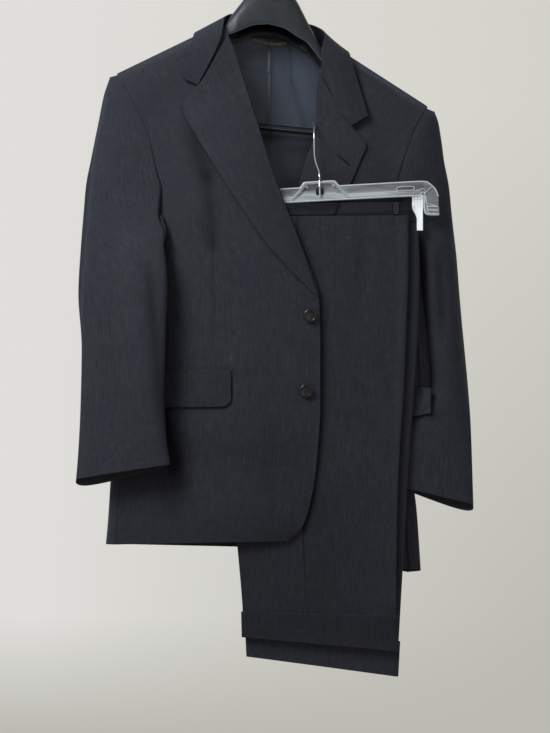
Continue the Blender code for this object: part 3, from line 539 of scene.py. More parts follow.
def moulded(name, colour, roughness, grain=900.0, depth=0.00004, shades=False, painted_glow=0.0):
    """Moulded plastic: a soft variation of its gloss and a faint flow grain.

    The glow it is given is painted light: an emission of the plastic's own colour that brightens
    it, though it is no lamp. With shades, its colour takes the piece's painted shade.
    """
    made, tree, shader = finish_base(name, colour, roughness)
    shader.inputs["Emission Color"].default_value = (*colour, 1.0)
    shader.inputs["Emission Strength"].default_value = painted_glow
    if shades:
        tint = node(tree, "RGB")
        tint.outputs[0].default_value = (*colour, 1.0)
        tree.links.new(shaded(tree, tint.outputs[0]), shader.inputs["Base Color"])
    where = node(tree, "TexCoord").outputs["Object"]
    wear = cloudy(tree, where, 45.0, detail=3.0)
    tree.links.new(ramp(tree, wear, 0.3, 0.7, roughness * 0.8, roughness * 1.25),
                   shader.inputs["Roughness"])
    flow = cloudy(tree, where, grain)
    bumped(tree, shader, flow, depth, 0.5)
    return made


def clear_moulding(name, dim, bright, roughness, through):
    """Clear polystyrene: smoky to milky and bright by a soft noise, times the piece's painted
    light and shade.
    """
    made, tree, shader = finish_base(name, bright, roughness)
    where = node(tree, "TexCoord").outputs["Object"]
    flow = cloudy(tree, where, 60.0, (0.2, 1.0, 1.4), 3.0)
    tone = blended(tree, ramp(tree, flow, 0.38, 0.62, 0.0, 1.0), dim, bright)
    tree.links.new(shaded(tree, tone), shader.inputs["Base Color"])
    shader.inputs["Transmission Weight"].default_value = through
    shader.inputs["IOR"].default_value = 1.49
    bumped(tree, shader, flow, 0.0005, 0.4)
    return made


def drawn_steel(name):
    """Bright plated wire with a faint drawn grain."""
    made, tree, shader = finish_base(name, (0.88, 0.89, 0.9), 0.24, 1.0)
    where = node(tree, "TexCoord").outputs["Object"]
    grain = cloudy(tree, where, 900.0, (1.0, 1.0, 0.1))
    tree.links.new(ramp(tree, grain, 0.3, 0.7, 0.14, 0.26), shader.inputs["Roughness"])
    return made


def horn(name):
    """Dark polished button with faint paler swirls."""
    made, tree, shader = finish_base(name, (0.018, 0.018, 0.02), 0.22)
    where = node(tree, "TexCoord").outputs["Object"]
    swirl = cloudy(tree, where, 160.0, (1.0, 1.0, 0.3), 4.0)
    tree.links.new(blended(tree, ramp(tree, swirl, 0.45, 0.7, 0.0, 1.0),
                           (0.006, 0.006, 0.007), (0.022, 0.021, 0.022)),
                   shader.inputs["Base Color"])
    shader.inputs["Coat Weight"].default_value = 0.3
    shader.inputs["Coat Roughness"].default_value = 0.1
    return made


def woven_strip(name):
    """A gold-brown woven ribbon with plain cross ribs."""
    made, tree, shader = finish_base(name, (0.3, 0.22, 0.12), 0.6)
    cut = node(tree, "UVMap", uv_map="cut").outputs[0]
    ribs = cloudy(tree, cut, 900.0, (1.0, 0.15, 1.0))
    tree.links.new(blended(tree, ramp(tree, ribs, 0.35, 0.65, 0.0, 1.0),
                           (0.12, 0.085, 0.04), (0.42, 0.31, 0.16)),
                   shader.inputs["Base Color"])
    bumped(tree, shader, ribs, 0.00012, 0.7)
    return made


# ---------------------------------------------------------------- cloth


def place(x, down, y):
    """A point of a table, in metres, moved along the sight line to its depth."""
    scale = 1.0 + y / EYE_DISTANCE
    eye_x, eye_down = EYE
    return Vector((
        (eye_x + (x - eye_x) * scale) * MM,
        y * MM,
        -(eye_down + (down - eye_down) * scale) * MM,
    ))


def drawn(spot):
    """The x and down of the table point that place() carried to spot."""
    scale = 1.0 + spot.y / MM / EYE_DISTANCE
    eye_x, eye_down = EYE
    return eye_x + (spot.x / MM - eye_x) / scale, eye_down + (-spot.z / MM - eye_down) / scale


def steepness(before, here, after):
    """The slope at a row of a table, level at a peak so that no curve runs past its rows."""
    rise, next_rise = here - before, after - here
    if rise * next_rise <= 0:
        return 0.0
    return 2 * rise * next_rise / (rise + next_rise)


def between(rows, share):
    """The row's numbers at a share of the way down a table, on a smooth curve through all rows."""
    span = len(rows) - 1
    at = min(max(share, 0.0), 1.0) * span
    i = min(int(at), span - 1)
    t = at - i
    numbers = []
    for column in range(1, len(rows[0])):
        start, end = rows[i][column], rows[i + 1][column]
        before = rows[i - 1][column] if i > 0 else 2 * start - end
        after = rows[i + 2][column] if i + 2 <= span else 2 * end - start
        slope_in = steepness(before, start, end)
        slope_out = steepness(start, end, after)
        numbers.append(
            start * (1 + 2 * t) * (1 - t) ** 2 + end * t * t * (3 - 2 * t)
            + slope_in * t * (1 - t) ** 2 - slope_out * t * t * (1 - t)
        )
    return numbers


def crowded(share, crowd):
    """Draws shares towards both ends, so that the cells there are finer."""
    return mix(share, smooth(share), crowd)


def path_length(spots):
    return sum((b - a).length for a, b in zip(spots, spots[1:]))


def finished(name, mesh, finish, nodes=()):
    """Links a mesh as a piece of the suit that rides on it and stands for its CAD nodes."""
    made = bpy.data.objects.new(name, mesh)
    made.data.materials.append(finish)
    bpy.context.scene.collection.objects.link(made)
    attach(made, "root")
    if nodes:
        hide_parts(*nodes)
    return made


SEAM_LAP = 0.9          # how far a panel runs on under its seam
SEAM_GROOVE = 1.3       # how deep cloth dips into a sewn seam
SEAM_SPREAD = 1.8
SEAM_SHADE = 0.6        # painted shade: how much darker a seam is painted than its cloth
FOLD_SHADE = 0.13       # painted shade: how much darker cloth is painted for each millimetre down in a fold
EDGE_CROWD = 0.6

sheets = {}             # the search tree of each cloth piece, for what lies on it


def cloth(name, point, across, along, finish=None, thickness=CLOTH, face=1,
          relief=None, shadows=None, sewn="", nodes=None):
    """A thin closed shell on the sheet point(u, v), in metres, with u and v from 0 to 1.

    face is 1 where u x v faces out of the garment. relief(x, down, u, v) stands a point out,
    in millimetres, and a dip also paints shade. shadows(x, down, u, v) is the share of painted
    shade taken from its colour; a negative share paints a highlight. sewn lists the edges that
    dip into a seam and are painted darker there: left and right are u 0 and u 1.
    """
    sheet = bmesh.new()
    shade = sheet.verts.layers.float.new("shade")
    cut = sheet.loops.layers.uv.new("cut")
    bmesh.ops.create_grid(sheet, x_segments=across, y_segments=along, size=0.5)
    sheet.verts.ensure_lookup_table()
    shares = []
    for corner in sheet.verts:
        shares.append((crowded(max(corner.co.x + 0.5, 0.0), EDGE_CROWD),
                       crowded(max(0.5 - corner.co.y, 0.0), EDGE_CROWD)))
        corner.co = point(*shares[-1])
    wide = max(path_length([point(k / 12, v) for k in range(13)]) for v in (0.1, 0.4, 0.7, 1.0))
    deep = max(path_length([point(u, k / 16) for k in range(17)]) for u in (0.0, 0.5, 1.0))
    sheet.normal_update()
    for corner, (u, v), normal in zip(sheet.verts, shares,
                                      [c.normal.copy() for c in sheet.verts]):
        spot = drawn(corner.co)
        rise = relief(*spot, u, v) if relief else 0.0
        # Painted shade: dips of the relief, the drawn shadows and the sewn seams darken the shade
        # attribute; negative shadows paint highlights.
        dark = min(rise, 0.0) * -FOLD_SHADE + (shadows(*spot, u, v) if shadows else 0.0)
        for edge, gap in (("left", u * wide), ("right", (1 - u) * wide),
                          ("top", v * deep), ("bottom", (1 - v) * deep)):
            if edge in sewn:
                near = math.exp(-(gap / MM / SEAM_SPREAD) ** 2)
                rise -= SEAM_GROOVE * near
                dark += SEAM_SHADE * near
        corner.co += normal * face * rise * MM
        corner[shade] = min(max(1.0 - dark, 0.12), 1.3)
    for facet in sheet.faces:
        for loop in facet.loops:
            u, v = shares[loop.vert.index]
            loop[cut].uv = (u * wide, v * deep)
    area = sum(facet.calc_area() for facet in sheet.faces)
    mesh = bpy.data.meshes.new(name)
    sheet.to_mesh(mesh)
    bmesh.ops.triangulate(sheet, faces=sheet.faces)
    sheets[name] = BVHTree.FromBMesh(sheet)
    sheet.free()
    mesh.shade_smooth()
    made = finished(name + "_cloth", mesh, finish or wool,
                    [name] if nodes is None else nodes)
    solid = made.modifiers.new("Cloth", "SOLIDIFY")
    solid.thickness = thickness * MM
    solid.offset = 0.0
    return made


def edge_point(rows, share, u):
    """A point of a body panel: u is 0 at the armhole or side seam and 1 at the front edge."""
    side_x, side_down, side_y, front_x, front_down, front_y, bulge = between(rows, share)
    y = mix(side_y, front_y, u)
    y += math.copysign(bulge, y) * 4 * u * (1 - u)
    return mix(side_x, front_x, u), mix(side_down, front_down, u), y


def panel(rows):
    """The sheet of a front or back, turned under its neighbours by the seam's allowance."""
    def point(u, v):
        row = between(rows, v)
        trim = -SEAM_LAP / max(abs(row[3] - row[0]), 1.0)
        return place(*edge_point(rows, v, trim + u * (1 - 2 * trim)))
    return point


def side(front_rows, back_rows, outward, reach):
    """The side body's sheet, from the front's side seam round the fold to the back's."""
    start = UNDERARM_ROW / (len(front_rows) - 1)

    def point(u, v):
        share = mix(start, 1.0, v)
        front = edge_point(front_rows, share, 0.0)
        back = edge_point(back_rows, share, 0.0)
        turn = math.pi * u
        y_middle = (front[2] + back[2]) / 2
        y_half = (back[2] - front[2]) / 2
        down = mix(front[1], back[1], u)
        return place(mix(front[0], back[0], u) + outward * reach * math.sin(turn), down,
                     y_middle - y_half * math.cos(turn))
    return point


def ring_point(rows, share, turn):
    """A point of a sleeve: turn is 0 at the outer fold, negative in front, in degrees."""
    hub_x, hub_down, hub_y, out_x, out_down, out_y, half, _, _ = between(rows, share)
    along = math.cos(math.radians(turn))
    through = math.sin(math.radians(turn))
    lean = (out_y - hub_y) / max(abs(out_x - hub_x), 1.0)
    side_way = math.copysign(1.0, out_x - hub_x)
    x = hub_x + (out_x - hub_x) * along - side_way * lean * half * through
    down = hub_down + (out_down - hub_down) * along
    y = hub_y + (out_y - hub_y) * along + half * through
    return x, down, y


def armhole_at(rows, down):
    """The point of a body panel's armhole edge at this height, found by halving."""
    low, high = 0.0, UNDERARM_ROW / (len(rows) - 1)
    for _ in range(24):
        middle = (low + high) / 2
        if edge_point(rows, middle, 0.0)[1] < down:
            low = middle
        else:
            high = middle
    return edge_point(rows, low, 0.0)


def top_sleeve(rows, front_rows, back_rows, front_hold):
    """The top sleeve: the sleeve's rings, drawn to the armhole at both edges above its notches."""
    last = len(rows) - 1

    def raw(u, v):
        turn_front, turn_back = between(rows, v)[7:9]
        return ring_point(rows, v, mix(turn_front, turn_back, u))

    def point(u, v):
        x, down, y = raw(u, v)
        for body, edge, near, held in (
            (front_rows, 0.0, (1 - u) ** 3, front_hold), (back_rows, 1.0, u ** 3, BACK_HOLD),
        ):
            hold = 1.0 - smooth((v * last - held) / HOLD_FADE)
            edge_x, edge_down, edge_y = raw(edge, v)
            seam_x, _, seam_y = armhole_at(body, edge_down)
            x += (seam_x - edge_x) * near * hold
            y += (seam_y - edge_y) * near * hold
        return place(x, down + SEAM, y)
    return point


def under_sleeve(rows, armhole, front_notch):
    """The under sleeve: the sleeve's rings, drawn up to the armhole's lower edge at the top."""
    last = len(rows) - 1

    def ring(u, share):
        turn_front, turn_back = between(rows, share)[7:9]
        return ring_point(rows, share, mix(turn_back, turn_front + 360.0, u ** UNDER_LEAN))

    def point(u, v):
        start = mix(BACK_NOTCH, front_notch, u) / last
        fair = smooth(v / UNDER_BLEND)
        here, first, top = ring(u, mix(start, 1.0, v)), ring(u, start), between(armhole, u)
        x, down, y = (h + (t - f) * (1 - fair) for h, f, t in zip(here, first, top))
        return place(x, down + CUFF_DROP * math.sin(math.pi * u) ** 2 * smooth((v - 0.8) / 0.2), y)
    return point


def strip(rows):
    def point(u, v):
        outer_x, outer_down, outer_y, inner_x, inner_down, inner_y = between(rows, v)
        return place(mix(outer_x, inner_x, u), mix(outer_down, inner_down, u),
                     mix(outer_y, inner_y, u))
    return point


def laid(under, x, down, lift):
    """A point that lies lift millimetres in front of the sheet under it."""
    guess = place(x, down, -40)
    start = Vector((guess.x, -1.0, guess.z))
    hit = under.ray_cast(start, Vector((0, 1, 0)))[0]
    if hit is None:
        hit = under.find_nearest(guess)[0]
    return place(x, down, hit.y / MM - lift)


def lapel(rows, under, lift, roll):
    """A lapel laid on its front, lifted into a soft roll beside the roll line."""
    def point(u, v):
        outer_x, outer_down, _, inner_x, inner_down, _ = between(rows, v)
        rise = lift + roll * math.sin(math.pi * min(u * 1.1, 1.0)) * (1 - 0.7 * v)
        return laid(under, mix(outer_x, inner_x, u), mix(outer_down, inner_down, u), rise)
    return point


def flap(rows, under, lift):
    def point(u, v):
        x, top, bottom = between(rows, u)
        return laid(under, x, mix(top, bottom, v), lift + 1.5 * v)
    return point


def overhanging_flap(rows):
    """A flap whose depth is given at its top and bottom edges."""
    def point(u, v):
        x, top, bottom, top_y, bottom_y = between(rows, u)
        return place(x, mix(top, bottom, v), mix(top_y, bottom_y, v))
    return point


def leg_point(rows, share, turn, y_middle, half, reach=0.0):
    """A point round a folded leg: turn is 0 at its right crease, -90 in front."""
    left, left_down, right, right_down = between(rows, share)
    left, right = left - reach, right + reach
    along = math.cos(math.radians(turn))
    through = math.sin(math.radians(turn))
    u = 0.5 + 0.5 * along
    y = y_middle + math.copysign(abs(through) ** 0.35, through) * half
    return place(mix(left, right, u), mix(left_down, right_down, u), y)


def band_loop(rows, y_middle, half):
    """A waistband folded at both ends and open at its middle behind, where its seam is."""
    def point(u, v):
        turn = mix(92.0, -268.0, u)
        along = math.cos(math.radians(turn))
        through = math.sin(math.radians(turn))
        x, top, bottom = between(rows, 0.5 + 0.5 * along)
        y = y_middle + math.copysign(abs(through) ** 0.35, through) * half
        return place(x, mix(top, bottom, v), y)
    return point


def leg_panel(rows, y_middle, turn_start, turn_end):
    def point(u, v):
        return leg_point(rows, v, mix(turn_start, turn_end, u), y_middle, LEG_HALF)
    return point


def turn_up(rows, y_middle):
    start = 1.0 - TURN_UP * 1.3 / (len(rows) - 1)

    def point(u, v):
        turn = mix(-262.0, 96.0, u)
        return leg_point(rows, mix(start, 1.0, v), turn, y_middle, TURN_UP_HALF, TURN_UP_REACH)
    return point


Crease = namedtuple("Crease", "x down to_x to_down height spread")


def creased(creases):
    """The relief of soft folds, each a line on the cloth, with its height and its spread."""
    def relief(x, down, u, v):
        rise = 0.0
        for c in creases:
            run_x, run_down = c.to_x - c.x, c.to_down - c.down
            length = math.hypot(run_x, run_down)
            along = ((x - c.x) * run_x + (down - c.down) * run_down) / length ** 2
            across = ((x - c.x) * run_down - (down - c.down) * run_x) / length
            if -0.1 < along < 1.1 and abs(across) < 3 * c.spread:
                fade = smooth(along / 0.3 + 0.1) * smooth((1 - along) / 0.3 + 0.1)
                rise += c.height * fade * math.exp(-(across / c.spread) ** 2)
        return rise
    return relief


# A line of painted shade: depth is how much darker, negative for a painted highlight; spread is
# its width in millimetres; points are where it runs.
Line = namedtuple("Line", "depth spread points")


def shadowed(lines):
    """Painted shade along drawn lines of (x, down) points; a negative depth paints a highlight
    instead.
    """
    def shadows(x, down, u, v):
        dark = 0.0
        for line in lines:
            nearest = 1e9
            for (ax, ad), (bx, bd) in zip(line.points, line.points[1:]):
                run_x, run_down = bx - ax, bd - ad
                at = ((x - ax) * run_x + (down - ad) * run_down) / (run_x ** 2 + run_down ** 2)
                at = min(max(at, 0.0), 1.0)
                nearest = min(nearest, math.hypot(x - ax - at * run_x, down - ad - at * run_down))
            if nearest < 3 * line.spread:
                dark += line.depth * math.exp(-(nearest / line.spread) ** 2)
        return dark
    return shadows


# ---------------------------------------------------------------- jacket


RIGHT_FRONT_FOLDS = [
    Crease(-128, 268, -103, 380, -2.2, 15),
    Crease(-104, 360, -97, 470, -2.0, 12),
    Crease(-96, 425, -97, 612, -0.6, 1.8),
    Crease(-150, 470, -156, 700, 1.5, 24),
    Crease(-60, 560, -52, 860, 1.2, 30),
    Crease(-20, 600, -14, 880, -0.9, 22),
    Crease(-150, 720, -158, 890, -1.4, 24),
]
RIGHT_FRONT_SHADOWS = [
    Line(0.8, 5.0, [(-171, 440), (-169, 532), (-168, 600), (-170, 682), (-164, 742), (-157, 784)]),
    Line(0.5, 10.0, [(-168, 660), (-160, 742), (-151, 780)]),
    Line(0.5, 2.4, [(-142, 244), (-121, 283), (-100, 319), (-76, 358), (-49, 397), (-25, 436),
                    (5, 472), (35, 502), (59, 523)]),
    Line(0.3, 13.0, [(-134, 262), (-116, 300), (-104, 345)]),
    Line(0.2, 10.0, [(-104, 345), (-98, 400), (-96, 450)]),
    Line(0.28, 1.6, [(-96, 430), (-96, 607)]),
    Line(0.5, 2.2, [(-170, 694), (-84, 694), (-72, 688), (-68, 676), (-67, 640)]),
    Line(0.4, 1.6, [(-170, 637), (-67, 636)]),
    Line(0.3, 16.0, [(-250, 800), (-160, 792)]),
    Line(0.22, 52.0, [(-260, 890), (60, 890)]),
    Line(0.18, 40.0, [(-170, 760), (10, 760)]),
    Line(0.1, 16.0, [(-205, 250), (-160, 210)]),
    Line(-0.1, 2.0, [(62, 560), (62, 690), (58, 760), (48, 840), (30, 880)]),
]
LEFT_FRONT_FOLDS = [
    Crease(150, 260, 165, 420, -1.2, 18),
]
LEFT_FRONT_SHADOWS = [
    Line(0.45, 2.2, [(118, 180), (126, 217), (136, 256), (110, 273)]),
    Line(0.6, 2.2, [(134, 300), (128, 314), (121, 331), (113, 349), (106, 366)]),
    Line(0.35, 7.0, [(134, 306), (113, 352)]),
    Line(-0.45, 13.0, [(214, 480), (224, 560), (228, 640), (230, 700)]),
]


LEFT_SIDE_REACH = SIDE_REACH + 4


def jacket():
    cloth("front_right", panel(RIGHT_FRONT), 120, 240, relief=creased(RIGHT_FRONT_FOLDS),
          shadows=shadowed(RIGHT_FRONT_SHADOWS))
    cloth("front_left", panel(LEFT_FRONT), 80, 180, face=-1, relief=creased(LEFT_FRONT_FOLDS),
          shadows=shadowed(LEFT_FRONT_SHADOWS), sewn="left")
    cloth("back_right", panel(RIGHT_BACK), 50, 90, face=-1, sewn="left right")
    cloth("back_left", panel(LEFT_BACK), 50, 90, sewn="left right")
    cloth("side_right", side(RIGHT_FRONT, RIGHT_BACK, -1, SIDE_REACH), 24, 90, face=-1,
          sewn="left right")
    cloth("side_left", side(LEFT_FRONT, LEFT_BACK, 1, LEFT_SIDE_REACH), 24, 90,
          sewn="left right")
    lift = CLOTH + 2 * REST
    cloth("lapel_right", lapel(RIGHT_LAPEL, sheets["front_right"], lift, 3.0), 30, 120,
          sewn="top")
    cloth("lapel_left", lapel(LEFT_LAPEL, sheets["front_left"], lift, 1.9), 24, 90, face=-1,
          sewn="top")
    buttonhole()
    cloth("collar", strip(COLLAR), 24, 200, face=-1,
          shadows=shadowed([Line(0.34, 30.0, [(100, 150), (128, 250)])]))
    cloth("collar_stand", strip(STAND), 8, 90, face=-1)
    cloth("pocket_flap_right", flap(RIGHT_FLAP, sheets["front_right"], lift), 60, 20,
          shadows=shadowed([Line(0.15, 60.0, [(-165, 664), (-75, 664)])]))
    cloth("pocket_flap_left", overhanging_flap(LEFT_FLAP), 60, 20)
    for name, x, down in FRONT_BUTTONS:
        seat = laid(sheets["front_right"], x, down, CLOTH / 2 + 5 * REST + BUTTON_HEIGHT / 2)
        button("front_button_" + name, seat, BUTTON_RADIUS, -1)


BUTTONHOLE = ((90.6, 313.5), (108.0, 329.6))


def buttonhole():
    """The worked buttonhole on the left lapel: a slit between two rows of twist."""
    (x, down), (to_x, to_down) = BUTTONHOLE
    length = math.hypot(to_x - x, to_down - down)
    side_x, side_down = (down - to_down) / length, (to_x - x) / length
    for k, offset in enumerate((-0.8, 0.0, 0.8)):
        points = []
        for step in range(13):
            at = step / 12
            points.append(laid(sheets["lapel_left"], mix(x, to_x, at) + side_x * offset,
                               mix(down, to_down, at) + side_down * offset,
                               CLOTH / 2 + 0.3))
        wire(f"buttonhole_twist_{k + 1}", points, 1.3, dark_twist)
    bar = [laid(sheets["lapel_left"], to_x + side_x * s * 1.5, to_down + side_down * s * 1.5,
                CLOTH / 2 + 0.4) for s in (-1, 0, 1)]
    wire("buttonhole_bar", bar, 1.3, dark_twist)


RIGHT_SLEEVE_FOLDS = [
    Crease(-262, 300, -272, 520, 1.2, 14),
    Crease(-196, 470, -172, 740, -2.4, 9),
    Crease(-222, 440, -208, 720, 1.6, 16),
    Crease(-283, 300, -292, 600, 0.7, 2.5),
]
RIGHT_SLEEVE_SHADOWS = [
    Line(-0.4, 1.8, [(-255, 229), (-271, 295), (-280, 382), (-286, 457), (-290, 517),
                     (-292, 560), (-294, 620)]),
    Line(0.3, 3.0, [(-262, 229), (-277, 295), (-286, 382), (-292, 457), (-295, 517)]),
    Line(0.22, 8.0, [(-195, 484), (-187, 532), (-180, 585), (-175, 637), (-171, 712),
                     (-168, 757)]),
    Line(0.25, 4.0, [(-166, 440), (-166, 560), (-167, 640), (-164, 740)]),
    Line(-0.08, 14.0, [(-228, 440), (-213, 560), (-206, 660)]),
]
LEFT_SLEEVE_FOLDS = [
    Crease(243, 455, 248, 580, -2.0, 10),
    Crease(262, 420, 268, 640, 1.2, 14),
]
LEFT_SLEEVE_SHADOWS = [
    Line(0.2, 7.0, [(240, 455), (246, 577)]),
    Line(0.6, 8.0, [(206, 440), (213, 532), (219, 592), (226, 652), (232, 705)]),
    Line(0.25, 6.0, [(286, 420), (292, 560), (300, 700), (302, 800)]),
]


def sleeves():
    for name, rows, armhole, notch, face, folds, shadows, armhole_edges in (
        ("right", RIGHT_SLEEVE, RIGHT_UNDERARM, RIGHT_FRONT_NOTCH, -1, RIGHT_SLEEVE_FOLDS,
         RIGHT_SLEEVE_SHADOWS, (RIGHT_FRONT, RIGHT_BACK, RIGHT_FRONT_HOLD)),
        ("left", LEFT_SLEEVE, LEFT_UNDERARM, LEFT_FRONT_NOTCH, 1, LEFT_SLEEVE_FOLDS,
         LEFT_SLEEVE_SHADOWS, (LEFT_FRONT, LEFT_BACK, LEFT_FRONT_HOLD)),
    ):
        cloth("top_sleeve_" + name, top_sleeve(rows, *armhole_edges), 90, 170, face=face,
              relief=creased(folds), shadows=shadowed(shadows), sewn="left right")
        cloth("under_sleeve_" + name, under_sleeve(rows, armhole, notch), 50, 100, face=face,
              sewn="left right")


LINING_SHADOWS = [
    Line(0.45, 1.3, [(-9, 150), (-9, 330)]),
    Line(0.14, 7.0, [(-18, 170), (-16, 330)]),
    Line(0.4, 1.6, [(20, 150), (21, 206)]),
    Line(0.34, 6.0, [(22, 206), (32, 240), (44, 280)]),
    Line(-0.14, 9.0, [(46, 170), (56, 250)]),
    Line(0.3, 1.6, [(-56, 157), (-34, 160), (-20, 156)]),
    Line(0.2, 3.0, [(-44, 168), (-20, 164)]),
    Line(0.16, 3.0, [(-50, 182), (-20, 190)]),
    Line(0.6, 6.0, [(-40, 284), (60, 292)]),
    Line(0.5, 5.0, [(-20, 290), (-15, 325)]),
    Line(0.5, 10.0, [(56, 290), (44, 320), (34, 360)]),
    Line(-0.3, 16.0, [(6, 312), (14, 350)]),
]


PLEAT_SHOWN = 0.2       # how much of the pleat's rise the pressed satin keeps
LINING_TOP = 132
LINING_FOOT = 470


def jacket_lining():
    """The half lining behind the neck opening, with a pleat down its middle, and a label."""
    centre = RIGHT_BACK[UNDERARM_ROW].front_x

    def on_back(x, down, lift):
        across = math.exp(-((x + 5) / PLEAT_WIDTH) ** 2)
        pleat = PLEAT_SHOWN * PLEAT_RISE * across * max(0.0, 1.5 - down / 280)
        return laid(sheets["back_right" if x < centre else "back_left"], x, down, lift + pleat)

    def lining(u, v):
        down = mix(LINING_TOP, LINING_FOOT, v)
        reach = mix(50, 172, min(1.0, v * 1.8) ** 0.9) - 6 * v
        x = mix(-reach - 10, reach - 4, u)
        return on_back(x, down + 3 * abs(2 * u - 1) * (1 - v),
                       CLOTH / 2 + LINING + 3 * REST + 3 * (1 - v))
    cloth("back_lining", lining, 150, 150, finish=slate_satin, thickness=LINING,
          shadows=shadowed(LINING_SHADOWS))

    def label(u, v):
        down = mix(139, 143.5, v) + 4 * math.sin(math.pi * u) + 6 * u
        return on_back(mix(-36, 14, u), down, CLOTH / 2 + 2 * LINING + 3 + 6 * REST)
    cloth("neck_label", label, 40, 8, finish=gold_ribbon, thickness=0.8)


# ---------------------------------------------------------------- buttons


def button(name, centre, radius, facing):
    """A dished four-hole button with a raised ring, sewn through with dark thread."""
    disc = bmesh.new()
    bmesh.ops.create_cone(disc, cap_ends=True, segments=48, radius1=radius * 0.94 * MM,
                          radius2=radius * 0.97 * MM, depth=BUTTON_HEIGHT * 0.72 * MM)
    rim = [e for e in disc.edges if len({round(v.co.z, 6) for v in e.verts}) == 1]
    bmesh.ops.bevel(disc, geom=rim, offset=0.5 * MM, segments=3, profile=0.5, affect="EDGES",
                    material=-1)
    face = max(disc.faces, key=lambda f: f.calc_center_median().z * 10 + f.calc_area())
    bmesh.ops.inset_region(disc, faces=[face], thickness=radius * 0.05 * MM, depth=0.35 * MM)
    bmesh.ops.inset_region(disc, faces=[face], thickness=radius * 0.12 * MM, depth=0.0)
    bmesh.ops.inset_region(disc, faces=[face], thickness=radius * 0.1 * MM, depth=-0.8 * MM)
    bmesh.ops.inset_region(disc, faces=[face], thickness=radius * 0.2 * MM, depth=-0.15 * MM)
    way = Vector((0, facing, 0)).to_track_quat("Z", "Y").to_matrix().to_4x4()
    top = max(v.co.z for v in face.verts)
    for step in range(4):
        turn = math.radians(45 + 90 * step)
        eye = Matrix.Translation((math.cos(turn) * radius * 0.2 * MM,
                                  math.sin(turn) * radius * 0.2 * MM, top))
        bmesh.ops.create_cone(disc, cap_ends=True, segments=12, radius1=radius * 0.085 * MM,
                              radius2=radius * 0.085 * MM, depth=0.2 * MM, matrix=eye)
    bmesh.ops.transform(disc, verts=disc.verts, matrix=Matrix.Translation(centre) @ way)
    mesh = bpy.data.meshes.new(name)
    disc.to_mesh(mesh)
    disc.free()
    mesh.shade_smooth()
    mesh.set_sharp_from_angle(angle=math.radians(50))
    finished(name + "_horn", mesh, polished_horn, [name])


def sleeve_buttons():
    """Three small buttons beside each cuff's vent, on the under sleeve's back."""
    for name, rows, lift in (("right", RIGHT_SLEEVE, 4), ("left", LEFT_SLEEVE, 6)):
        for k in range(SLEEVE_BUTTONS):
            row_length = rows[-1].hub_down - rows[-2].hub_down
            share = 1.0 - (14.0 + SLEEVE_BUTTON_STEP * k) / row_length / (len(rows) - 1)
            x, down, y = ring_point(rows, share, 48.0)
            centre = place(x, down, y + CLOTH / 2 + BUTTON_HEIGHT / 2 + lift * REST)
            button(f"sleeve_button_{name}_{k + 1}", centre, SLEEVE_BUTTON_RADIUS, 1)


# ---------------------------------------------------------------- trousers


NEAR_LEG_FOLDS = [
    Crease(16, 870, 12, 1000, 1.6, 9),
    Crease(96, 430, 92, 700, 0.9, 20),
    Crease(150, 420, 146, 640, 0.9, 12),
    Crease(128, 412, 122, 560, -0.8, 9),
    Crease(60, 700, 52, 980, 0.9, 22),
]
NEAR_LEG_SHADOWS = [
    Line(0.5, 9.0, [(22, 404), (39, 457), (56, 510), (68, 547), (68, 682), (62, 757), (52, 817)]),
    Line(0.6, 9.0, [(-60, 897), (14, 896), (36, 876), (50, 830)]),
    Line(0.45, 1.6, [(133, 402), (131, 424)]),
    Line(0.3, 1.6, [(175, 402), (173, 418)]),
    Line(0.35, 1.8, [(197, 404), (196, 424)]),
    Line(0.35, 3.0, [(25, 403), (196, 400)]),
    Line(0.13, 80.0, [(110, 480), (110, 680)]),
    Line(0.2, 90.0, [(0, 860), (0, 1010)]),
    Line(0.17, 80.0, [(90, 860), (90, 1010)]),
    Line(-0.22, 6.0, [(187, 420), (186, 500), (183, 600), (180, 700), (179, 800), (178, 980)]),
    Line(0.25, 2.0, [(197, 420), (197, 500), (194, 600), (189, 700), (184, 800)]),
]
FAR_LEG_SHADOWS = [
    Line(0.5, 4.0, [(197, 420), (197, 500), (195, 560), (190, 640), (186, 720), (180, 840),
                    (179, 960)]),
]


def trousers():
    # The number after each leg's shadows is the painted shade on its back panel and its turn-up.
    for name, rows, y, folds, shadows, lower_shade, across, along in (
        ("near", NEAR_LEG, NEAR_LEG_Y, NEAR_LEG_FOLDS, NEAR_LEG_SHADOWS, 0.34, 110, 190),
        ("far", FAR_LEG, FAR_LEG_Y, [], FAR_LEG_SHADOWS, 0.1, 60, 120),
    ):
        seam = math.degrees(math.acos(2 * LEG_SEAM - 1))
        cloth("leg_front_" + name, leg_panel(rows, y, -seam, seam), across, along,
              relief=creased(folds), shadows=shadowed(shadows), thickness=LIGHT_CLOTH)
        cloth("leg_back_" + name, leg_panel(rows, y, seam, 360 - seam), 60, 100,
              shadows=shadowed([Line(lower_shade * 0.7, 150.0, [(-40, 900), (60, 1010)])]),
              thickness=LIGHT_CLOTH)
        cloth("turn_up_" + name, turn_up(rows, y), 160, 16, thickness=LIGHT_CLOTH,
              shadows=shadowed([Line(lower_shade, 60.0, [(-50, 1010), (180, 1020)])]))


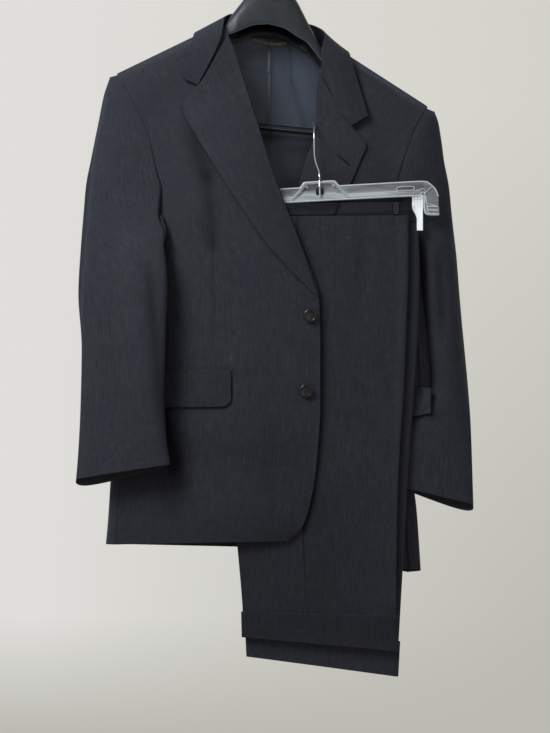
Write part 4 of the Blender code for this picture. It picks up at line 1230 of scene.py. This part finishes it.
def waistband():
    cloth("waistband_near", band_loop(NEAR_BAND, NEAR_LEG_Y, BAND_HALF), 160, 12, face=-1,
          shadows=shadowed([Line(0.7, 3.5, [(93, 384), (84, 405)]),
                            Line(0.4, 2.0, [(86, 404), (200, 400)]),
                            Line(0.25, 5.0, [(20, 386), (200, 378)]),
                            Line(0.4, 14.0, [(186, 386), (204, 386)]),
                            Line(0.36, 40.0, [(0, 392), (200, 388)])]),
          thickness=LIGHT_CLOTH)
    cloth("waistband_far", band_loop(FAR_BAND, FAR_LEG_Y, BAND_HALF), 160, 8, face=-1,
          thickness=LIGHT_CLOTH)
    front = NEAR_LEG_Y - BAND_HALF - LIGHT_CLOTH - REST

    def tab(u, v):
        x, top, bottom = between(TAB, u)
        return place(x, mix(top, bottom, v), front)
    cloth("waistband_tab", tab, 50, 10, thickness=LIGHT_CLOTH,
          shadows=shadowed([Line(0.68, 16.0, [(24, 392), (86, 390)])]))
    for name, x in BELT_LOOPS:
        under_tab = TAB[0].x < x < TAB[-1].x
        y = front - LIGHT_CLOTH - REST if under_tab else front
        band_width = NEAR_BAND[-1].x - NEAR_BAND[0].x
        top, bottom = between(NEAR_BAND, (x - NEAR_BAND[0].x) / band_width)[1:]

        def loop(u, v, x=x, y=y, top=top, bottom=bottom):
            return place(x + (u - 0.5) * LOOP_WIDTH, mix(top + 1, bottom - 0.5, v), y)
        cloth("belt_loop_" + name, loop, 8, 12, thickness=LIGHT_CLOTH)


# ---------------------------------------------------------------- hangers


def hung(u, w, y):
    """A point of the black hanger, u across and w down along it, leaned about the hook."""
    lean = math.radians(JACKET_TILT)
    return Vector((
        (u * math.cos(lean) - w * math.sin(lean)) * MM,
        y * MM,
        -(u * math.sin(lean) + w * math.cos(lean)) * MM,
    ))


def shell(name, point, across, along, thickness, finish, nodes, rounding=0.4,
          light=None):
    """A moulded wall on both sides of the sheet point(u, v), with its edges rounded.

    light(u, v) is the painted light and shade at a point: the share of its colour that shows.
    """
    sheet = bmesh.new()
    shade = sheet.verts.layers.float.new("shade")
    bmesh.ops.create_grid(sheet, x_segments=across, y_segments=along, size=0.5)
    for corner in sheet.verts:
        u, v = max(corner.co.x + 0.5, 0.0), max(0.5 - corner.co.y, 0.0)
        corner.co = point(u, v)
        corner[shade] = light(u, v) if light else 1.0
    mesh = bpy.data.meshes.new(name)
    sheet.to_mesh(mesh)
    sheet.free()
    mesh.shade_smooth()
    made = finished(name + "_moulding", mesh, finish, nodes)
    solid = made.modifiers.new("Wall", "SOLIDIFY")
    solid.thickness = thickness * MM
    solid.offset = 0.0
    if rounding:
        soft = made.modifiers.new("Edges", "BEVEL")
        soft.width = rounding * MM
        soft.segments = 2
        soft.limit_method = "ANGLE"
        soft.angle_limit = math.radians(60)
    return made


def wire(name, points, diameter, finish, nodes=(), sides=6):
    """A round wire through points in metres."""
    route = bpy.data.curves.new(name, "CURVE")
    route.dimensions = "3D"
    route.bevel_depth = diameter / 2 * MM
    route.bevel_resolution = sides
    route.use_fill_caps = True
    path = route.splines.new("POLY")
    path.points.add(len(points) - 1)
    for knot, spot in zip(path.points, points):
        knot.co = (*spot, 1.0)
    scratch = bpy.data.objects.new(name, route)
    mesh = bpy.data.meshes.new_from_object(scratch)
    bpy.data.objects.remove(scratch)
    mesh.shade_smooth()
    return finished(name + "_round", mesh, finish, nodes)


def softened(points, rounds=2):
    """The same route with its corners cut, for a bent wire."""
    for _ in range(rounds):
        cut = [points[0]]
        for a, b in zip(points, points[1:]):
            cut += [a.lerp(b, 0.25), a.lerp(b, 0.75)]
        points = cut + [points[-1]]
    return points


def channel_point(u, v):
    """The black hanger's channel: u along it, v over it from its front wall to its back wall."""
    across = abs(2 * u - 1)
    u_mm, top, half, wall_height = between(HANGER_ARM, across)
    turn = math.pi * v
    y = -half * math.copysign(abs(math.cos(turn)) ** 0.7, math.cos(turn))
    wall_height += BACK_RIM_DROP * v
    drop = wall_height * (1 - max(math.sin(turn), 0.0) ** 0.7)
    return hung(math.copysign(u_mm, 2 * u - 1), top + drop, y)


def black_hanger():
    # Painted shade: the channel's back half, under its front wall, is painted dark.
    def light(u, v):
        return mix(0.9, 0.0, smooth((v - 0.5) / 0.14))
    shell("hanger_body", channel_point, 160, 60, HANGER_WALL, channel_plastic,
          ["hanger_body"], light=light)
    # The rims are a lighter plastic: painted highlights along the channel's lower edges.
    for side_name, v, width in (("front", 0.0, 2.2), ("back", 1.0, 0.9)):
        edge = [channel_point(0.04 + 0.92 * k / 120, v) for k in range(121)]
        wire("hanger_rim_" + side_name, edge, width, rim_highlight_plastic)
    post = 172.0
    bar = [
        hung(-post, 215.6, 0), hung(-post, 258, 0), hung(-post + 5, 270, 0),
        hung(-post + 17, BAR_DOWN, 0), hung(-60, BAR_DOWN, 0), hung(0, BAR_DOWN, 0),
        hung(60, BAR_DOWN, 0), hung(post - 17, BAR_DOWN, 0), hung(post - 5, 270, 0),
        hung(post, 258, 0), hung(post, 215.6, 0),
    ]
    wire("hanger_bar", bar, BAR_RADIUS * 2, black_plastic, ["hanger_bar"])
    # The two lighter ridges are painted highlights along the bar's top and lower edge; the third
    # is black.
    for k, (drop, out, width, finish) in enumerate((
        (-5.4, -2.4, 0.9, rim_highlight_plastic), (1.4, -5.4, 1.4, rim_highlight_plastic),
        (5.2, -3.0, 1.2, black_plastic),
    )):
        ridge = [hung(-post + 20, BAR_DOWN + drop, out), hung(post - 20, BAR_DOWN + drop, out)]
        wire(f"hanger_bar_ridge_{k + 1}", ridge, width, finish)
    radius = HOOK_RADIUS
    hook = []
    for step in range(45):
        turn = math.radians(200 - step * 220 / 44)
        hook.append(hung(radius * math.cos(turn), radius * (1 - math.sin(turn))
                         - HOOK_WIRE / 2, 0))
    hook += [hung(12, radius * 2 - 2, 0), hung(2, radius * 2 + 6, 0), hung(0, radius * 2 + 14, 0),
             hung(0, 66.2, 0)]
    wire("hanger_hook", hook, HOOK_WIRE, bright_steel, ["hanger_hook"], 10)


def clip_place(across, down, y):
    """A point of the clip hanger, across from its centre and down, leaned to its tilt."""
    lean = math.radians(CLIP_TILT)
    x, top = CLIP_CENTRE
    return place(x + across * math.cos(lean) - down * math.sin(lean),
                 top + across * math.sin(lean) + down * math.cos(lean), y)


PLATE = [(-42.0, 13.5), (-21.5, -10.5), (21.5, -10.5), (41.5, 13.5)]
PLATE_MARKS = [(-19.0, -4.0, 1.5), (20.3, -4.0, 1.5), (37.5, 8.5, 2.6), (-36.0, 8.5, 0.9)]
OVAL = (128.5, 6.5, 13.5, 3.4)      # across, down, half length, half height
LEG_RIBS = (34.8, 40.6, 46.4)
SOCKETS = (-3.6, 3.2)
BAR_BELLY = 3.0         # how far the bar's lower half stands forward
BAR_LIP = 4.6           # how far the bar's lip hangs below it, short of the legs
LEG_TUCK = 4.0          # how far the foot of a leg's inner side reaches inwards


def bar_point(u, v):
    """A point of the clear bar: u from its left leg to its right, v from top to bottom."""
    side_way = 2 * u - 1
    across, top, bottom = between(CLIP_BAR, abs(side_way))
    bottom += BAR_LIP * (1 - smooth((abs(across) - 148) / 6))
    across -= LEG_TUCK * v * smooth((across - 156) / 4) * (1 - smooth((across - 162) / 6))
    belly = BAR_BELLY * smooth((v - 0.35) / 0.5) * (1 - smooth((abs(across) - 150) / 8))
    return clip_place(math.copysign(across, side_way), mix(top, bottom, v), CLIP_Y - belly)


def clip_ribs():
    """The raised lines of the clear moulding, in a bright material that paints their highlights:
    its outline, its plate and its marks.
    """
    front = CLIP_Y - 3.6
    for edge_name, v, width in (("top", 0.0, 2.6), ("bottom", 1.0, 3.0), ("inner", 0.14, 1.2),
                                ("belly", 0.66, 2.2)):
        edge = [bar_point(0.006 + 0.988 * k / 240, v) for k in range(241)]
        wire("clip_hanger_" + edge_name + "_rib", edge, width, clear_highlight)
    wire("clip_hanger_plate_rib", [clip_place(a, d, front - 1) for a, d in PLATE], 1.7,
         clear_highlight)
    wire("clip_hanger_plate_inner_rib",
         [clip_place(a * 0.9, mix(d, 1.5, 0.14), front - 0.6) for a, d in PLATE], 0.9,
         clear_highlight)
    for k, (across, down, radius) in enumerate(PLATE_MARKS):
        ring = [clip_place(across + radius * math.cos(step * math.pi / 8),
                           down + radius * math.sin(step * math.pi / 8), front - 0.5)
                for step in range(17)]
        wire(f"clip_hanger_mark_{k + 1}", ring, 0.8, clear_highlight)
    across, down, long, high = OVAL
    ring = []
    for step in range(49):
        turn = step * math.pi / 24
        ring.append(clip_place(
            across + long * math.copysign(abs(math.cos(turn)) ** 0.6, math.cos(turn)),
            down + high * math.copysign(abs(math.sin(turn)) ** 0.8, math.sin(turn)), front))
    wire("clip_hanger_oval", ring, 1.3, clear_highlight)
    for side_name, way in (("left", -1), ("right", 1)):
        for k, down in enumerate(LEG_RIBS):
            wire(f"clip_hanger_leg_rib_{side_name}_{k + 1}",
                 [clip_place(way * 160.5, down, CLIP_Y - 2), clip_place(way * 175, down + 1.4,
                                                                        CLIP_Y - 2)],
                 2.0, clear_highlight)
        wire("clip_hanger_corner_rib_" + side_name,
             [clip_place(way * 155.5, 16.5, CLIP_Y - 2), clip_place(way * 168, 6, CLIP_Y - 2)],
             1.3, clear_highlight)
        wire("clip_hanger_leg_inside_rib_" + side_name,
             [clip_place(way * 158, 18, CLIP_Y - 1), clip_place(way * 160.5, 45, CLIP_Y - 1),
              clip_place(way * 174, 47.5, CLIP_Y - 1)], 1.8, clear_highlight)
    for k, across in enumerate(SOCKETS):
        def socket(u, v, across=across):
            return clip_place(across + (u - 0.5) * 4.6, mix(-2.0, 8.0, v), front - 0.8)
        shell(f"clip_hanger_socket_{k + 1}", socket, 2, 4, 0.6, black_plastic,
              [])


def clip_hanger():
    """The clear bar with its raised middle plate, its end legs, and the wire hook."""
    # Painted light: a bright band low on the bar and on the plate, lighter legs, and painted shade
    # above.
    def light(u, v):
        across = abs(between(CLIP_BAR, abs(2 * u - 1))[0])
        lower = 0.55 + 0.75 * math.exp(-((v - 0.78) / 0.17) ** 2)
        plate = 0.75 + 0.5 * math.exp(-((v - 0.85) / 0.2) ** 2)
        leg = smooth((across - 154) / 5)
        return mix(mix(lower, plate, 1 - smooth((across - 34) / 10)), 0.95, leg)
    shell("clip_hanger_body", bar_point, 240, 26, 2.0, clear_plastic,
          ["clip_hanger_body"], 0.0, light)
    clip_ribs()
    points = [
        place(64, 376, CLIP_Y - 7), place(64, 356, CLIP_Y - 6), place(64, 346, CLIP_Y),
        place(62.5, 338, CLIP_Y), place(59, 330, CLIP_Y), place(56, 318, CLIP_Y),
        place(55.5, 304, CLIP_Y),
    ]
    radius = (HOOK_BACK - CLIP_Y) / 2
    middle = (HOOK_BACK + CLIP_Y) / 2
    rise = math.sqrt(radius ** 2 - middle ** 2)
    centre_down = HOOK_BAR_TOP - CLIP_WIRE / 2 - REST + rise
    for step in range(33):
        turn = math.radians(step * 195 / 32)
        points.append(place(HOOK_X, centre_down - radius * math.sin(turn),
                            middle - radius * math.cos(turn)))
    wire("clip_hanger_hook", softened(points), CLIP_WIRE, bright_steel,
         ["clip_hanger_hook"], 10)


DOT_ROWS = 5
DOT_COLUMNS = 3


def clips():
    """Two white spring clips; each is a jaw in front and a jaw behind the trousers' top."""
    for name, across, back_y in CLIPS:
        x = clip_place(across, 0, 0).x / MM
        top = -clip_place(across, CLIP_BAR[-5].bottom + 3.0, 0).z / MM
        for face, y in (("front", JAW_FRONT_Y), ("back", back_y)):
            def jaw(u, v, x=x, y=y, top=top, across=across):
                return jaw_point(x, top, across, u, v, y)
            shell(f"clip_{name}_{face}", jaw, 12, 30, JAW_WALL, white_plastic,
                  [f"clip_{name}_{face}"])
        for row in range(DOT_ROWS):
            for column in range(DOT_COLUMNS):
                seat = place(x + 4.2 * (column - 1), top + 4.0 + 3.6 * row,
                             JAW_FRONT_Y - JAW_WALL / 2)
                dot(f"clip_{name}_dot_{row + 1}_{column + 1}", seat)
        for k, share in enumerate((0.12, 0.5, 0.88)):
            ridge = [jaw_point(x, top, across, share, v, JAW_FRONT_Y - JAW_WALL / 2)
                     for v in (0.48, 0.7, 0.97)]
            wire(f"clip_{name}_ridge_{k + 1}", ridge, 0.9, white_plastic)


def jaw_point(x, top, across, u, v, y):
    """A point of a clip's jaw, which narrows to its foot and keeps its outer side straight."""
    width = mix(JAW_WIDTH, JAW_FOOT, smooth((v - 0.36) / 0.3))
    lean = math.copysign((JAW_WIDTH - width) / 2, across)
    return place(x + (u - 0.5) * width + lean, mix(top, 428, v), y)


def dot(name, seat):
    """A small raised grip dot on a clip's jaw."""
    stud = bmesh.new()
    bmesh.ops.create_cone(stud, cap_ends=True, segments=10, radius1=0.95 * MM,
                          radius2=0.6 * MM, depth=0.8 * MM)
    way = Vector((0, -1, 0)).to_track_quat("Z", "Y").to_matrix().to_4x4()
    bmesh.ops.transform(stud, verts=stud.verts, matrix=Matrix.Translation(seat) @ way)
    mesh = bpy.data.meshes.new(name)
    stud.to_mesh(mesh)
    stud.free()
    finished(name, mesh, grey_dot)


# ---------------------------------------------------------------- room, light and camera


def room():
    """A pale wall well behind the suit and a pale floor below it. The wall glows with painted
    light, paler to the left, with painted shade towards its lower right corner and at its foot.
    """
    paint, tree, shader = finish_base("wall glow", (0.0, 0.0, 0.0), 0.9)
    where = node(tree, "TexCoord").outputs["Object"]
    parts = node(tree, "SeparateXYZ")
    tree.links.new(where, parts.inputs[0])
    rightward = ramp(tree, parts.outputs[0], -1.1, 1.3, 0.0, 1.0)
    downward = ramp(tree, parts.outputs[2], -2.3, 0.6, 1.0, 0.0)
    # Painted light and shade: the glowing wall is paler to the left and darker to the right, in
    # its lower right corner and at its foot.
    tone = blended(tree, rightward, (0.735, 0.725, 0.7), (0.645, 0.64, 0.585))
    corner = maths(tree, "MULTIPLY", maths(tree, "MULTIPLY", rightward, downward), 0.9)
    tone = blended(tree, corner, tone, (0.46, 0.46, 0.415))
    foot = ramp(tree, parts.outputs[2], -2.35, -1.8, 1.0, 0.0)
    tone = blended(tree, foot, tone, (0.49, 0.49, 0.445))
    # The wall glows with this painted light instead of being lit.
    tree.links.new(tone, shader.inputs["Emission Color"])
    shader.inputs["Emission Strength"].default_value = 1.0
    ground = finish_base("floor paint", (0.5, 0.5, 0.46), 0.9)[0]
    for name, finish, size, centre, turn in (
        ("backdrop", paint, 14.0, (0, 3.4, 0), 90), ("floor", ground, 14.0, (0, 0, -2.6), 0),
    ):
        sheet = bmesh.new()
        bmesh.ops.create_grid(sheet, x_segments=4, y_segments=4, size=size / 2)
        bmesh.ops.transform(sheet, verts=sheet.verts, matrix=Matrix.Translation(centre)
                            @ Matrix.Rotation(math.radians(turn), 4, "X"))
        mesh = bpy.data.meshes.new(name)
        sheet.to_mesh(mesh)
        sheet.free()
        made = bpy.data.objects.new(name, mesh)
        made.data.materials.append(finish)
        bpy.context.scene.collection.objects.link(made)


def light(name, spot, aim, size, power, colour):
    lamp = bpy.data.lights.new(name, "AREA")
    lamp.shape = "DISK"
    lamp.size = size
    lamp.energy = power
    lamp.color = colour
    made = bpy.data.objects.new(name, lamp)
    made.location = spot
    made.rotation_euler = (Vector(aim) - Vector(spot)).to_track_quat("-Z", "Y").to_euler()
    bpy.context.scene.collection.objects.link(made)


def lights():
    aim = (0.0, 0.0, -0.6)
    light("window", (-1.2, -1.3, 0.85), (0.0, 0.0, -0.2), 1.1, 32, (0.87, 0.93, 1.0))
    light("fill", (1.2, -2.8, -0.1), aim, 2.4, 5.2, (0.98, 0.97, 0.96))
    world = bpy.data.worlds.new("room")
    world.use_nodes = True
    world.node_tree.nodes["Background"].inputs[0].default_value = (0.72, 0.73, 0.74, 1.0)
    world.node_tree.nodes["Background"].inputs[1].default_value = 0.3
    bpy.context.scene.world = world
    bpy.context.scene.view_settings.view_transform = "Standard"


FRAME_HEIGHT = 1.0995   # what the camera sees at the plane of the suit


def camera():
    lens = bpy.data.cameras.new("camera")
    lens.sensor_width = 36.0
    distance = EYE_DISTANCE * MM
    lens.lens = lens.sensor_width / 2 * distance / (FRAME_HEIGHT / 2)
    made = bpy.data.objects.new("camera", lens)
    made.location = (EYE[0] * MM, -distance, -EYE[1] * MM)
    made.rotation_euler = (math.radians(90), 0, 0)
    bpy.context.scene.collection.objects.link(made)
    bpy.context.scene.camera = made


wool = worsted("charcoal worsted", (0.021, 0.024, 0.038), (0.083, 0.083, 0.097),
               (0.03, 0.029, 0.034))
slate_satin = satin("slate satin", (0.056, 0.07, 0.096))
gold_ribbon = woven_strip("gold ribbon")
black_plastic = moulded("black plastic", (0.006, 0.008, 0.011), 0.42)
# Its colour takes the channel's painted shade.
channel_plastic = moulded("channel plastic", (0.03, 0.036, 0.04), 0.42, shades=True)
# Painted highlight: a lighter copy of the black plastic for the rims and bar ridges.
rim_highlight_plastic = moulded("rim highlight plastic", (0.1, 0.105, 0.125), 0.3)
clear_plastic = clear_moulding("clear plastic", (0.26, 0.275, 0.285), (0.66, 0.69, 0.7), 0.14,
                               0.25)
# Painted highlight: a bright opaque copy of the clear plastic for its raised lines.
clear_highlight = moulded("clear edge highlight", (0.75, 0.78, 0.79), 0.12)
# The white plastic's glow is painted light.
white_plastic = moulded("white plastic", (0.9, 0.93, 0.94), 0.4, painted_glow=0.38)
grey_dot = moulded("grip dot", (0.3, 0.33, 0.35), 0.5)
dark_twist = moulded("dark twist", (0.006, 0.006, 0.009), 0.8)
polished_horn = horn("dark button")
bright_steel = drawn_steel("bright steel")

camera()
room()
lights()
black_hanger()
jacket()
sleeves()
jacket_lining()
sleeve_buttons()
trousers()
waistband()
clip_hanger()
clips()
